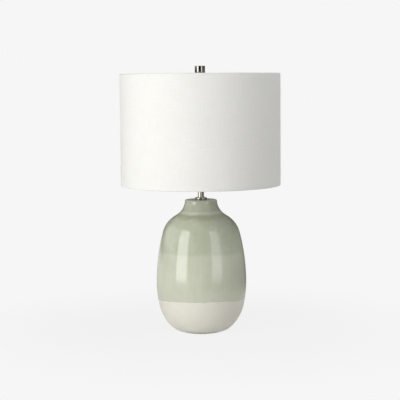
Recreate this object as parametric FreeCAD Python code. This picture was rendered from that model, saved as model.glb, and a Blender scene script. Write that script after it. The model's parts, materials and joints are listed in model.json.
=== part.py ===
"""Ceramic jar table lamp with a harp, a keyed lampholder and a drum shade.

Millimetres, +Z up. The origin is the centre of the underside, on the surface that the lamp stands on.
+Y is the back of the lamp, where the cord leaves the jar; the harp's bow lies in the XZ plane.
Each sub-part below is one STEP file, and its name is the name of the piece.
"""

import FreeCAD
import Part
import math
import os

# ---------------------------------------------------------------- driving dimensions
# Jar: stations on its turned outer face, each one measured from the station before it.
pad_thickness = 2.0           # felt under the foot
pad_inset = 2.0               # felt edge in from the edge of the foot
toe_rise = 9.0                # from the foot up to the toe
haunch_rise = 58.0            # from the toe up to the haunch
belly_rise = 57.5             # from the haunch up to the widest line
flank_rise = 127.0            # from the widest line up to the flank
shoulder_rise = 52.4          # from the flank up to the bottom of the crease
crease_rise = 4.9             # from there up to the foot of the collar
collar_rise = 26.7            # from there up to the collar's flat top
belly_radius = 115.6
haunch_inset = 6.6            # haunch, in from the belly
toe_inset = 32.5              # toe, in from the haunch
flank_inset = 16.0            # flank, in from the belly
collar_radius = 40.7          # at the lip
collar_flare = 9.0            # how far the collar widens down to its foot
crease_width = 5.8            # how far the crease widens down from there
lip_drop = 3.6                # height of the rounding at the collar's lip
jar_wall = 7.0
jar_top_thickness = 8.0       # ceramic between the collar's top and the hollow
foot_opening_radius = 38.0    # hole in the foot, closed by the felt

# Cord outlet at the back of the jar, square to its wall
outlet_height = 28.0          # above the foot
outlet_hole_radius = 5.5
grommet_flange_radius = 7.5
grommet_flange_thickness = 2.0
grommet_lip_radius = 6.8
grommet_lip_thickness = 1.6
cord_bore_radius = 3.7

# Shared clearances and edge breaks
fit_clearance = 0.1           # radial, wherever a piece slips over or turns in another
loose_clearance = 0.3         # radial, round the nipple in the jar's hole
edge_break = 0.5              # small chamfers

# Neck hardware, on one hollow threaded nipple
nipple_radius = 5.0
nipple_bore_radius = 3.6
nipple_tail = 4.0             # thread showing below the nut
gasket_radius = 14.0
gasket_thickness = 1.5
neck_washer_radius = 13.0
neck_washer_thickness = 2.0
nut_across_flats = 15.0
nut_thickness = 5.0
flange_radius = 15.5
flange_thickness = 5.6
flange_step_radius = 9.2
flange_step_height = 0.8
tube_radius = 7.65
tube_wall = 0.8
neck_rise = 53.5              # from the collar's top to the underside of the saddle
check_ring_radius = 10.5
check_ring_thickness = 2.0
check_ring_spigot = 2.5       # how far the ring reaches into the tube

# Harp: saddle, bow, locking sleeves and the swivelling stud that carries the shade
saddle_thickness = 1.6
saddle_width = 12.0
saddle_boss_radius = 10.0
saddle_shoulder_height = 5.0  # from the saddle's underside to the shoulders the sleeves rest on
saddle_tab_width = 4.0
saddle_tab_height = 13.0
harp_height = 254.0           # from the saddle's underside to the face the shade sits on
harp_wire_radius = 1.75
harp_foot_spread = 28.5       # centre of each foot from the axis
harp_belly_spread = 57.0
harp_belly_rise = 118.0       # above the end of the straight foot
harp_knee_margin = 3.5        # straight wire left above a raised sleeve
sleeve_length = 16.0
sleeve_travel = 14.0
sleeve_wall = 0.9
sleeve_edge_radius = 0.5
harp_pad_length = 22.0
harp_pad_width = 9.0
harp_pad_thickness = 2.0
harp_pad_corner_radius = 2.7
stud_radius = 3.15
stud_length = 12.0
stud_shank_radius = 2.2
stud_disc_radius = 8.0
stud_disc_thickness = 1.7
stud_rivet_radius = 3.6
stud_rivet_thickness = 1.5

# Lampholder
holder_hub_radius = 8.4
holder_hub_height = 7.0
holder_cap_height = 19.0
holder_cap_sheet = 0.8
holder_shell_radius = 17.0
holder_shell_sheet = 0.5
holder_shell_height = 50.0
holder_shell_overlap = 6.0    # depth of the shell inside the cap
holder_bead_radius = 1.1
holder_bead_sink = 0.35       # bead's centre, in from the shell's outer face
holder_bead_gap = 3.3         # bead's centre above the switch slot
holder_rim_radius = 0.6
card_thickness = 0.8
card_recess = 1.6             # card's edge below the shell's rim
core_height = 20.0
screw_shell_radius = 13.4     # inside
screw_shell_sheet = 0.4
screw_shell_height = 25.0
screw_shell_hole_gap = 1.5    # from the centre contact to the hole round it
contact_rise = 3.0
contact_radius = 4.5
contact_thickness = 0.5
contact_dish = 0.6            # how far the contact's edge drops
contact_dish_run = 1.0
contact_post_radius = 1.6
set_screw_radius = 1.6
set_screw_length = 4.6
terminal_head_radius = 3.4
terminal_head_thickness = 1.6
terminal_head_sink = 1.2      # top of the head, in from the core's side
terminal_seat_clearance = 0.6
terminal_shank_radius = 1.6
terminal_shank_length = 6.0
driver_slot_width = 0.8
driver_slot_depth = 0.7

# Switch in the lampholder
key_height = 9.0              # above the lower end of the shell
key_shaft_radius = 2.4
key_shaft_grip = 7.3          # length of shaft inside the knob
key_slot_clearance = 2.0
key_cam_width = 7.0
key_cam_length = 5.0
key_cam_start = 2.0           # from the lamp's axis
key_cam_edge_radius = 0.8
key_cam_clearance = 0.5
key_cam_end_float = 0.2
knob_radius = 6.5
knob_length = 14.0
knob_gap = 1.6                # between the knob and the holder
knob_edge_radius = 2.0
knob_flutes = 14
knob_flute_radius = 0.8
knob_collar_length = 3.0      # plain length between the flutes and the holder

# Bulb
bulb_radius = 30.0
bulb_length = 110.0
bulb_wall = 0.9
bulb_taper_angle = 32.0       # below the widest line, where the globe turns into the neck
bulb_neck_radius = 13.7
bulb_cap_radius = 13.05
bulb_cap_height = 25.0
bulb_cap_sheet = 0.4
bulb_tip_radius = 4.4
bulb_tip_height = 1.4
bulb_tip_crown = 0.7
bulb_tip_crown_run = 1.5
bulb_insulator_height = 4.5
bulb_insulator_rim = 0.8
bulb_insulator_inset = 1.5
stem_flare_height = 12.0
stem_radius = 5.0
stem_pinch_radius = 3.5
stem_height = 38.0
filament_wire_radius = 0.35
filament_coil_radius = 0.7
filament_span = 24.0
filament_rise = 14.0
filament_foot_spread = 2.0

# Shade
shade_radius = 203.2          # outside of the fabric
shade_height = 283.0
hub_recess = 10.4             # top of the hub below the shade's top edge
fabric_thickness = 0.6
liner_thickness = 0.5
shade_wire_radius = 1.6
hem_turn = 215.0              # degrees that the fabric wraps round each ring
hem_flap = 7.0                # straight part of the hem, glued to the liner
hem_slit_clearance = 0.4      # round each arm, where it leaves the hem
hub_radius = 16.0
hub_hole_radius = 5.2
hub_thickness = 1.6
spider_arms = 3
spider_first_angle = 90.0     # degrees from +X to the first arm
spider_arm_inner_radius = 10.6
spider_bend_start = 10.5      # from the ring in to where an arm starts to drop
spider_bend_run = 14.0
spider_weld_sink = 0.35       # how far an arm is pressed into the hub by its weld

# Finial
finial_height = 29.9
finial_radius = 14.0
finial_foot_radius = 9.0
finial_foot_height = 5.0
finial_edge = 0.7
insert_radius = 5.5
insert_length = 14.0

# ---------------------------------------------------------------- derived levels and radii
foot_z = pad_thickness
toe_z = foot_z + toe_rise
haunch_z = toe_z + haunch_rise
belly_z = haunch_z + belly_rise
flank_z = belly_z + flank_rise
crease_z = flank_z + shoulder_rise
collar_foot_z = crease_z + crease_rise
jar_top_z = collar_foot_z + collar_rise
jar_ceiling_z = jar_top_z - jar_top_thickness
haunch_radius = belly_radius - haunch_inset
toe_radius = haunch_radius - toe_inset
flank_radius = belly_radius - flank_inset
collar_foot_radius = collar_radius + collar_flare
crease_radius = collar_foot_radius + crease_width
outlet_z = foot_z + outlet_height

gasket_z = jar_ceiling_z - gasket_thickness
neck_washer_z = gasket_z - neck_washer_thickness
nut_z = neck_washer_z - nut_thickness
nipple_z = nut_z - nipple_tail
slip_radius = nipple_radius + fit_clearance
flange_top_z = jar_top_z + flange_thickness + flange_step_height
saddle_z = jar_top_z + neck_rise
saddle_top_z = saddle_z + saddle_thickness
check_ring_z = saddle_z - check_ring_thickness
holder_z = saddle_top_z
hub_top_of_cap_z = holder_z + holder_hub_height
nipple_top_z = hub_top_of_cap_z

shoulder_z = saddle_z + saddle_shoulder_height
tab_outer_x = harp_foot_spread - harp_wire_radius
tab_inner_x = tab_outer_x - saddle_thickness
bundle_outer_x = harp_foot_spread + harp_wire_radius
bundle_centre_x = (tab_inner_x + bundle_outer_x) / 2
bundle_half_width = bundle_outer_x - bundle_centre_x
sleeve_bore_radius = math.hypot(bundle_half_width, saddle_tab_width / 2) + fit_clearance
harp_knee_z = shoulder_z + sleeve_length + sleeve_travel + harp_knee_margin
harp_belly_z = harp_knee_z + harp_belly_rise
seat_z = saddle_z + harp_height
stud_disc_z = seat_z - stud_disc_thickness
harp_pad_z = stud_disc_z - fit_clearance - harp_pad_thickness
harp_pad_mid_z = harp_pad_z + harp_pad_thickness / 2
stud_rivet_z = harp_pad_z - fit_clearance - stud_rivet_thickness

holder_cap_top_z = holder_z + holder_cap_height
shell_z = holder_cap_top_z - holder_shell_overlap
shell_top_z = shell_z + holder_shell_height
cap_lip_radius = holder_shell_radius + holder_cap_sheet
card_radius = holder_shell_radius - holder_shell_sheet
core_radius = card_radius - card_thickness
core_top_z = shell_z + core_height
screw_shell_top_z = core_top_z + screw_shell_height
screw_shell_hole_radius = contact_radius + screw_shell_hole_gap
contact_top_z = core_top_z + contact_rise
set_screw_z = holder_z + holder_hub_height / 2
terminal_face_x = core_radius - terminal_head_sink - terminal_head_thickness
key_z = shell_z + key_height
key_slot_half_width = key_shaft_radius + key_slot_clearance
key_cam_end = key_cam_start + key_cam_length
key_pocket_radius = math.hypot(key_cam_width, key_cam_width) / 2 + key_cam_clearance
knob_inner_y = holder_shell_radius + holder_bead_radius + knob_gap
bead_z = key_z + key_slot_half_width + holder_bead_gap

bulb_z = contact_top_z
bulb_top_z = bulb_z + bulb_length
bulb_centre_z = bulb_top_z - bulb_radius
bulb_cap_top_z = bulb_z + bulb_cap_height
bulb_tip_top_z = bulb_z + bulb_tip_height
bulb_cap_z = bulb_tip_top_z + bulb_insulator_height
bulb_cap_inner_radius = bulb_cap_radius - bulb_cap_sheet
stem_z = bulb_cap_z + bulb_cap_sheet
stem_top_z = stem_z + stem_height
filament_z = stem_top_z + filament_rise

hub_top_z = seat_z + hub_thickness
shade_top_z = hub_top_z + hub_recess
shade_z = shade_top_z - shade_height
liner_outer_radius = shade_radius - fabric_thickness
liner_inner_radius = liner_outer_radius - liner_thickness
ring_radius = liner_inner_radius - shade_wire_radius
hem_radius = shade_radius - ring_radius
top_ring_z = shade_top_z - hem_radius
bottom_ring_z = shade_z + hem_radius
arm_inner_z = hub_top_z + shade_wire_radius - spider_weld_sink

finial_body_z = hub_top_z + finial_foot_height
finial_top_z = hub_top_z + finial_height

UP = FreeCAD.Vector(0, 0, 1)
RIGHT = FreeCAD.Vector(1, 0, 0)
BACK = FreeCAD.Vector(0, 1, 0)
AXIS_POINT = FreeCAD.Vector(0, 0, 0)
OVERSHOOT = 1.0               # how far a cutting tool runs past the face it cuts
SAME = 1e-6                   # two lengths closer than this are the same


# ---------------------------------------------------------------- outline helpers
class Arc2D:
    """A circular arc in the (radius, height) plane, held as its start, middle and end points."""

    def __init__(self, centre, start, middle, end):
        self.centre = centre
        self.start = start
        self.middle = middle
        self.end = end

    def offset(self, distance):
        """The concentric arc, nearer to its centre by the given distance (negative: further out)."""
        points = []
        for p in (self.start, self.middle, self.end):
            inward = (self.centre - p).normalize()
            points.append(p + inward * distance)
        return Arc2D(self.centre, *points)

    def radius(self):
        return (self.start - self.centre).Length

    def at_height(self, z):
        """The point of the arc's circle at a height, on the side away from the axis."""
        rise = z - self.centre.z
        return FreeCAD.Vector(self.centre.x + math.sqrt(self.radius() ** 2 - rise ** 2), 0, z)

    def edge(self):
        return Part.Arc(self.start, self.middle, self.end).toShape()


def station(radius, height):
    """A point of an outline, in the XZ plane."""
    return FreeCAD.Vector(radius, 0, height)


def tangent_arc(start, heading, end):
    """The arc that leaves start along heading and reaches end, and its heading there."""
    chord = end - start
    across = FreeCAD.Vector(-heading.z, 0, heading.x)
    reach = chord.Length ** 2 / (2 * chord.dot(across))
    centre = start + across * reach
    to_middle = ((start - centre) + (end - centre)).normalize()
    middle = centre + to_middle * abs(reach)
    along = FreeCAD.Vector(chord).normalize()
    heading_at_end = along * (2 * along.dot(heading)) - heading
    return Arc2D(centre, start, middle, end), heading_at_end


def levelling_arc(start, heading, level):
    """The arc that leaves start along heading and ends level, running inwards at the given height."""
    bisector = (heading - RIGHT).normalize()
    run = (level - start.z) / bisector.z
    return tangent_arc(start, heading, start + bisector * run)[0]


def biarc(start, heading, end, heading_at_end):
    """Two arcs in a row that leave start along heading and reach end along heading_at_end."""
    gap = end - start
    both = heading + heading_at_end
    a = 2 * (heading.dot(heading_at_end) - 1)
    b = -2 * gap.dot(both)
    c = gap.dot(gap)
    reach = -c / b if abs(a) < SAME else (-b - math.sqrt(b * b - 4 * a * c)) / (2 * a)
    joint = (start + heading * reach + end - heading_at_end * reach) * 0.5
    first, turned_heading = tangent_arc(start, heading, joint)
    second, _ = tangent_arc(joint, turned_heading, end)
    return [first, second]


def line(a, b):
    return Part.LineSegment(a, b).toShape()


def polyline(points):
    """The edges from point to point of a list of (radius, height) stations, left open."""
    corners = [station(*p) for p in points]
    return [line(a, b) for a, b in zip(corners, corners[1:])]


def revolve(edges):
    """The solid turned by a closed outline about the lamp's axis."""
    return Part.Face(Part.Wire(Part.__sortEdges__(edges))).revolve(AXIS_POINT, UP, 360)


def turned(*points):
    """The solid turned by a closed polygon of (radius, height) stations."""
    return revolve(polyline(points + points[:1]))


def rod(radius, start, direction, length):
    """A round bar from a point along a direction."""
    return Part.makeCylinder(radius, length, start, direction)


def upright(radius, z, height, x=0):
    """A round bar standing at a height, on the axis or beside it."""
    return rod(radius, FreeCAD.Vector(x, 0, z), UP, height)


def bore(radius, z, height, x=0):
    """The tool that drills an upright hole right through a piece."""
    return upright(radius, z - OVERSHOOT, height + 2 * OVERSHOOT, x)


def ring(outer, inner, z, height):
    return upright(outer, z, height).cut(bore(inner, z, height))


def box(x, y, z, dx, dy, dz):
    return Part.makeBox(dx, dy, dz, FreeCAD.Vector(x, y, z))


def round_edges(shape):
    """The edges of a shape that are full circles."""
    return [e for e in shape.Edges if len(e.Vertexes) == 1 and isinstance(e.Curve, Part.Circle)]


def swept_wire(edges, radius):
    """A round wire along a chain of edges, square to its first one."""
    path = Part.Wire(edges)
    first = edges[0]
    start = first.valueAt(first.FirstParameter)
    heading = first.tangentAt(first.FirstParameter)
    section = Part.Wire(Part.makeCircle(radius, start, heading))
    return path.makePipeShell([section], True, False, 1)


def single_solid(shape):
    """The one solid inside a boolean result."""
    return shape.Solids[0] if len(shape.Solids) == 1 else shape


# ---------------------------------------------------------------- jar
def jar_outline():
    """The arcs of the jar's outer face from belly to foot, and from belly to the collar's top."""
    belly = station(belly_radius, belly_z)
    haunch, heading = tangent_arc(belly, -UP, station(haunch_radius, haunch_z))
    under, heading = tangent_arc(haunch.end, heading, station(toe_radius, toe_z))
    toe = levelling_arc(under.end, heading, foot_z)
    flank, heading = tangent_arc(belly, UP, station(flank_radius, flank_z))
    shoulder, heading = tangent_arc(flank.end, heading, station(crease_radius, crease_z))
    crease, heading = tangent_arc(shoulder.end, heading, station(collar_foot_radius, collar_foot_z))
    collar, heading = tangent_arc(crease.end, heading, station(collar_radius, jar_top_z - lip_drop))
    lip = levelling_arc(collar.end, heading, jar_top_z)
    return [haunch, under, toe], [flank, shoulder, crease, collar, lip]


def inside_of(arcs):
    """The same outline one wall further in: towards a bulging arc's centre, away from a hollow one's."""
    inner = []
    for arc in arcs:
        bulges = arc.centre.x < arc.middle.x
        inner.append(arc.offset(jar_wall if bulges else -jar_wall))
    return inner


def closed_on_axis(lower, upper):
    """The solid turned by an outline that level lines and the axis close."""
    foot = lower[-1].end
    top = upper[-1].end
    edges = [arc.edge() for arc in lower + upper]
    edges += [line(station(0, foot.z), foot), line(top, station(0, top.z))]
    edges.append(line(station(0, foot.z), station(0, top.z)))
    return revolve(edges)


def outlet_frame():
    """The point on the jar's back where the cord hole is, and the wall's outward normal there."""
    lower, _ = jar_outline()
    under = lower[1]
    point = under.at_height(outlet_z)
    normal = (point - under.centre).normalize()
    return FreeCAD.Vector(0, point.x, point.z), FreeCAD.Vector(0, normal.x, normal.z)


def outlet_rod(radius, inward, outward):
    """A round bar on the cord hole's axis, from one depth inside the jar's face to a height outside it."""
    point, normal = outlet_frame()
    return rod(radius, point - normal * inward, normal, inward + outward)


def jar_body():
    lower, upper = jar_outline()
    body = closed_on_axis(lower, upper)
    ceiling = upright(belly_radius, jar_ceiling_z, jar_top_z)
    hollow = closed_on_axis(inside_of(lower), inside_of(upper[:-1])).cut(ceiling)
    foot_hole = bore(foot_opening_radius, foot_z, jar_wall)
    top_hole = bore(nipple_radius + loose_clearance, jar_ceiling_z, jar_top_thickness)
    outlet = outlet_rod(outlet_hole_radius, 2 * jar_wall, 2 * jar_wall)
    return single_solid(body.cut(hollow).cut(foot_hole).cut(top_hole).cut(outlet))


def base_pad():
    lower, _ = jar_outline()
    return upright(lower[-1].end.x - pad_inset, 0, pad_thickness)


def cord_grommet(jar):
    """A rubber grommet with a flange outside the wall and a lip inside it, shaped to both faces."""
    depth = jar_wall + grommet_lip_thickness
    bedding = grommet_flange_radius ** 2 / belly_radius
    sleeve = outlet_rod(outlet_hole_radius - fit_clearance, depth, grommet_flange_thickness)
    flange = outlet_rod(grommet_flange_radius, bedding, grommet_flange_thickness).cut(jar)
    lip = outlet_rod(grommet_lip_radius, depth, bedding - jar_wall).cut(jar)
    cord_hole = outlet_rod(cord_bore_radius, 2 * depth, 2 * depth)
    return single_solid(sleeve.fuse([flange, lip]).removeSplitter().cut(cord_hole))


# ---------------------------------------------------------------- neck
def neck_nut():
    """A hexagonal nut with its corners turned off at both faces."""
    corner = nut_across_flats / math.sqrt(3)
    turns = [math.radians(60 * k) for k in range(7)]
    corners = [FreeCAD.Vector(corner * math.cos(a), corner * math.sin(a), nut_z) for a in turns]
    blank = Part.Face(Part.makePolygon(corners)).extrude(UP * nut_thickness)
    top = nut_z + nut_thickness
    chamfer = turned((0, nut_z), (corner - edge_break, nut_z), (corner, nut_z + edge_break),
                     (corner, top - edge_break), (corner - edge_break, top), (0, top))
    return blank.common(chamfer).cut(bore(nipple_radius, nut_z, nut_thickness))


def neck_flange():
    """A turned disc with a full round edge and a low step round the tube."""
    half = flange_thickness / 2
    top = jar_top_z + flange_thickness
    rim = Part.Arc(station(flange_radius - half, jar_top_z), station(flange_radius, jar_top_z + half),
                   station(flange_radius - half, top)).toShape()
    rest = polyline([(flange_radius - half, top), (flange_step_radius, top),
                     (flange_step_radius, flange_top_z), (slip_radius, flange_top_z),
                     (slip_radius, jar_top_z), (flange_radius - half, jar_top_z)])
    return revolve([rim] + rest)


def check_ring():
    """A dished ring that centres the tube's top end and carries the saddle."""
    spigot_radius = tube_radius - tube_wall - fit_clearance
    spigot_z = check_ring_z - check_ring_spigot
    rim = check_ring_radius - edge_break
    return turned((slip_radius, spigot_z), (spigot_radius, spigot_z), (spigot_radius, check_ring_z),
                  (rim, check_ring_z), (check_ring_radius, check_ring_z + edge_break),
                  (check_ring_radius, saddle_z - edge_break), (rim, saddle_z), (slip_radius, saddle_z))


def neck():
    return {
        "neck_gasket": ring(gasket_radius, slip_radius, gasket_z, gasket_thickness),
        "neck_washer": ring(neck_washer_radius, slip_radius, neck_washer_z, neck_washer_thickness),
        "neck_nut": neck_nut(),
        "threaded_nipple": ring(nipple_radius, nipple_bore_radius, nipple_z, nipple_top_z - nipple_z),
        "neck_flange": neck_flange(),
        "neck_tube": ring(tube_radius, tube_radius - tube_wall, flange_top_z, check_ring_z - flange_top_z),
        "check_ring": check_ring(),
    }


# ---------------------------------------------------------------- harp
def harp_saddle():
    """A bent steel strip: a flat base with a round boss, and a narrow tab standing up at each end."""
    half = saddle_width / 2
    strip = box(-tab_outer_x, -half, saddle_z, 2 * tab_outer_x, saddle_width, saddle_thickness)
    saddle = strip.fuse(upright(saddle_boss_radius, saddle_z, saddle_thickness))
    for x in (tab_inner_x, -tab_outer_x):
        riser = box(x, -half, saddle_z, saddle_thickness, saddle_width, saddle_shoulder_height)
        tab = box(x, -saddle_tab_width / 2, shoulder_z, saddle_thickness, saddle_tab_width,
                  saddle_tab_height)
        saddle = saddle.fuse([riser, tab])
    saddle = saddle.removeSplitter()
    outer_bends = [e for e in saddle.Edges
                   if abs(e.BoundBox.YLength - saddle_width) < SAME
                   and abs(abs(e.CenterOfMass.x) - tab_outer_x) < SAME
                   and abs(e.CenterOfMass.z - saddle_z) < SAME]
    saddle = saddle.makeFillet(saddle_thickness, outer_bends)
    return single_solid(saddle.cut(bore(slip_radius, saddle_z, saddle_thickness)))


def harp_bow():
    """One wire, from foot to foot over the top, flattened and pierced where the stud is riveted."""
    foot = station(harp_foot_spread, shoulder_z)
    knee = station(harp_foot_spread, harp_knee_z)
    belly = station(harp_belly_spread, harp_belly_z)
    crown = station(harp_pad_length / 2, harp_pad_mid_z)
    bends = biarc(knee, UP, belly, UP) + biarc(belly, UP, crown, -RIGHT)
    half = swept_wire([line(foot, knee)] + [arc.edge() for arc in bends], harp_wire_radius)
    lap = swept_wire([line(crown, station(0, harp_pad_mid_z))], harp_wire_radius)
    lap = lap.common(box(0, -harp_wire_radius, harp_pad_z, harp_pad_length,
                         2 * harp_wire_radius, harp_pad_thickness))
    pad = box(-harp_pad_length / 2, -harp_pad_width / 2, harp_pad_z,
              harp_pad_length, harp_pad_width, harp_pad_thickness)
    corners = [e for e in pad.Edges if e.BoundBox.ZLength > harp_pad_thickness / 2]
    pad = pad.makeFillet(harp_pad_corner_radius, corners)
    mirrored = [s.mirror(AXIS_POINT, RIGHT) for s in (half, lap)]
    rivet_hole = bore(stud_shank_radius + fit_clearance, harp_pad_z, harp_pad_thickness)
    return single_solid(half.fuse([lap, pad] + mirrored).cut(rivet_hole))


def harp_sleeve(side):
    """A ferrule round one foot of the bow and the saddle's tab, with rounded ends."""
    x = side * bundle_centre_x
    tube = upright(sleeve_bore_radius + sleeve_wall, shoulder_z, sleeve_length, x)
    tube = tube.makeFillet(sleeve_edge_radius, round_edges(tube))
    return tube.cut(bore(sleeve_bore_radius, shoulder_z, sleeve_length, x))


def harp_stud():
    """The rivet, disc and threaded post that swivel together in the top of the bow."""
    rivet_top = stud_rivet_z + stud_rivet_thickness
    post_top = seat_z + stud_length
    return turned((0, stud_rivet_z), (stud_rivet_radius - edge_break, stud_rivet_z),
                  (stud_rivet_radius, stud_rivet_z + edge_break), (stud_rivet_radius, rivet_top),
                  (stud_shank_radius, rivet_top), (stud_shank_radius, stud_disc_z),
                  (stud_disc_radius, stud_disc_z), (stud_disc_radius, seat_z), (stud_radius, seat_z),
                  (stud_radius, post_top - edge_break), (stud_radius - edge_break, post_top),
                  (0, post_top))


def harp():
    return {
        "harp_saddle": harp_saddle(),
        "harp_bow": harp_bow(),
        "harp_stud": harp_stud(),
        "harp_sleeve_left": harp_sleeve(-1),
        "harp_sleeve_right": harp_sleeve(1),
    }


# ---------------------------------------------------------------- lampholder
def key_slot():
    """The open-ended slot that lets the switch shaft out of the front of the holder."""
    depth = 2 * holder_shell_radius
    lower = box(-key_slot_half_width, -depth, shell_z - OVERSHOOT,
                2 * key_slot_half_width, depth, key_height + OVERSHOOT)
    return lower.fuse(rod(key_slot_half_width, FreeCAD.Vector(0, 0, key_z), -BACK, depth))


def set_screw_rod(length):
    """A round bar through the back of the cap's hub, from the nipple outwards."""
    return rod(set_screw_radius, FreeCAD.Vector(0, nipple_radius, set_screw_z), BACK, length)


def holder_cap():
    """The dished cap: a threaded hub, a bowl and a lip that holds the shell."""
    bowl = tangent_arc(station(holder_hub_radius, hub_top_of_cap_z), RIGHT,
                       station(cap_lip_radius, shell_z - holder_cap_sheet))[0]
    lining = bowl.offset(holder_cap_sheet)
    lip_inner_radius = cap_lip_radius - holder_cap_sheet
    outline = polyline([(nipple_radius, holder_z), (holder_hub_radius, holder_z),
                        (holder_hub_radius, hub_top_of_cap_z)])
    outline.append(bowl.edge())
    outline += polyline([(bowl.end.x, bowl.end.z), (cap_lip_radius, holder_cap_top_z),
                         (lip_inner_radius, holder_cap_top_z), (lining.end.x, lining.end.z)])
    outline.append(lining.edge())
    outline += polyline([(lining.start.x, lining.start.z), (nipple_radius, lining.start.z),
                         (nipple_radius, holder_z)])
    return single_solid(revolve(outline).cut(set_screw_rod(holder_hub_radius)))


def holder_set_screw():
    end_y = nipple_radius + set_screw_length
    slot = box(-set_screw_radius, end_y - driver_slot_depth, set_screw_z - driver_slot_width / 2,
               2 * set_screw_radius, driver_slot_depth, driver_slot_width)
    return set_screw_rod(set_screw_length).cut(slot)


def holder_shell():
    """The outer shell: a plain tube with one rolled bead and a turned-out rim, slotted for the switch."""
    bead = Part.makeTorus(holder_shell_radius - holder_bead_sink, holder_bead_radius,
                          FreeCAD.Vector(0, 0, bead_z), UP)
    rim = Part.makeTorus(holder_shell_radius, holder_rim_radius,
                         FreeCAD.Vector(0, 0, shell_top_z - holder_rim_radius), UP)
    solid = upright(holder_shell_radius, shell_z, holder_shell_height).fuse([bead, rim])
    hollow = bore(card_radius, shell_z, holder_shell_height)
    return single_solid(solid.cut(hollow).cut(key_slot()))


def holder_insulator():
    card = ring(card_radius, core_radius, shell_z, holder_shell_height - card_recess)
    return single_solid(card.cut(key_slot()))


def terminal_rod(side, radius, start, length):
    """A round bar along one terminal screw, from a distance off the lamp's axis outwards."""
    return rod(radius, FreeCAD.Vector(side * start, 0, key_z), RIGHT * side, length)


def holder_core():
    """The moulded body: bores for the switch, the wires and the terminals."""
    body = upright(core_radius, shell_z, core_height)
    axis_at_key = FreeCAD.Vector(0, 0, key_z)
    shaft_bore = rod(key_shaft_radius + fit_clearance, axis_at_key, -BACK, 2 * core_radius)
    pocket_start = key_cam_start - key_cam_end_float
    pocket = rod(key_pocket_radius, axis_at_key - BACK * pocket_start, -BACK,
                 key_cam_length + 2 * key_cam_end_float)
    wire_hole = upright(nipple_bore_radius, shell_z - OVERSHOOT, key_height)
    body = body.cut(shaft_bore).cut(pocket).cut(wire_hole)
    for side in (-1, 1):
        seat = terminal_rod(side, terminal_head_radius + terminal_seat_clearance, terminal_face_x,
                            core_radius)
        tapped = terminal_rod(side, terminal_shank_radius, terminal_face_x - terminal_shank_length,
                              core_radius)
        body = body.cut(seat.fuse(tapped))
    return single_solid(body)


def terminal_screws():
    """Two slotted screws, one on each side of the core."""
    screws = []
    outer_x = terminal_face_x + terminal_head_thickness
    for side in (-1, 1):
        head = terminal_rod(side, terminal_head_radius, terminal_face_x, terminal_head_thickness)
        shank = terminal_rod(side, terminal_shank_radius, terminal_face_x - terminal_shank_length,
                             terminal_shank_length)
        slot_x = outer_x - driver_slot_depth if side > 0 else -outer_x
        slot = box(slot_x, -terminal_head_radius, key_z - driver_slot_width / 2,
                   driver_slot_depth, 2 * terminal_head_radius, driver_slot_width)
        screws.append(head.fuse(shank).removeSplitter().cut(slot))
    return Part.makeCompound(screws)


def screw_shell():
    """The thin cup that takes the bulb's cap, open at the bottom for the centre contact."""
    outer = screw_shell_radius + screw_shell_sheet
    floor_top_z = core_top_z + screw_shell_sheet
    return turned((screw_shell_hole_radius, core_top_z), (outer, core_top_z), (outer, screw_shell_top_z),
                  (screw_shell_radius, screw_shell_top_z), (screw_shell_radius, floor_top_z),
                  (screw_shell_hole_radius, floor_top_z))


def centre_contact():
    """A brass post with a dished spring disc that meets the bulb's tip."""
    flat_radius = contact_radius - contact_dish_run
    rim_top_z = contact_top_z - contact_dish
    return turned((0, core_top_z), (contact_post_radius, core_top_z),
                  (contact_post_radius, contact_top_z - contact_thickness),
                  (flat_radius, contact_top_z - contact_thickness),
                  (contact_radius, rim_top_z - contact_thickness), (contact_radius, rim_top_z),
                  (flat_radius, contact_top_z), (0, contact_top_z))


def lampholder():
    return {
        "holder_cap": holder_cap(),
        "holder_set_screw": holder_set_screw(),
        "holder_shell": holder_shell(),
        "holder_insulator": holder_insulator(),
        "holder_core": holder_core(),
        "terminal_screws": terminal_screws(),
        "screw_shell": screw_shell(),
        "centre_contact": centre_contact(),
    }


# ---------------------------------------------------------------- switch
def switch_shaft():
    length = knob_inner_y + key_shaft_grip - key_cam_end
    return rod(key_shaft_radius, FreeCAD.Vector(0, -key_cam_end, key_z), -BACK, length)


def switch_cam():
    """The square rotor that steps from contact to contact."""
    half = key_cam_width / 2
    cam = box(-half, -key_cam_end, key_z - half, key_cam_width, key_cam_length, key_cam_width)
    along = [e for e in cam.Edges if e.BoundBox.YLength > key_cam_length / 2]
    return cam.makeFillet(key_cam_edge_radius, along)


def switch_knob():
    """A fluted knob with a rounded end, pushed on to the shaft."""
    back = FreeCAD.Vector(0, -knob_inner_y, key_z)
    knob = rod(knob_radius, back, -BACK, knob_length)
    middle_y = -knob_inner_y - knob_length / 2
    outer_edge = [e for e in round_edges(knob) if e.CenterOfMass.y < middle_y]
    knob = knob.makeFillet(knob_edge_radius, outer_edge)
    flute_start = back - BACK * knob_collar_length
    for k in range(knob_flutes):
        angle = 2 * math.pi * k / knob_flutes
        rim_point = FreeCAD.Vector(math.cos(angle), 0, math.sin(angle)) * knob_radius
        knob = knob.cut(rod(knob_flute_radius, flute_start + rim_point, -BACK, knob_length))
    return single_solid(knob.cut(rod(key_shaft_radius, back, -BACK, key_shaft_grip)))


def switch():
    return {"switch_shaft": switch_shaft(), "switch_cam": switch_cam(), "switch_knob": switch_knob()}


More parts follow.
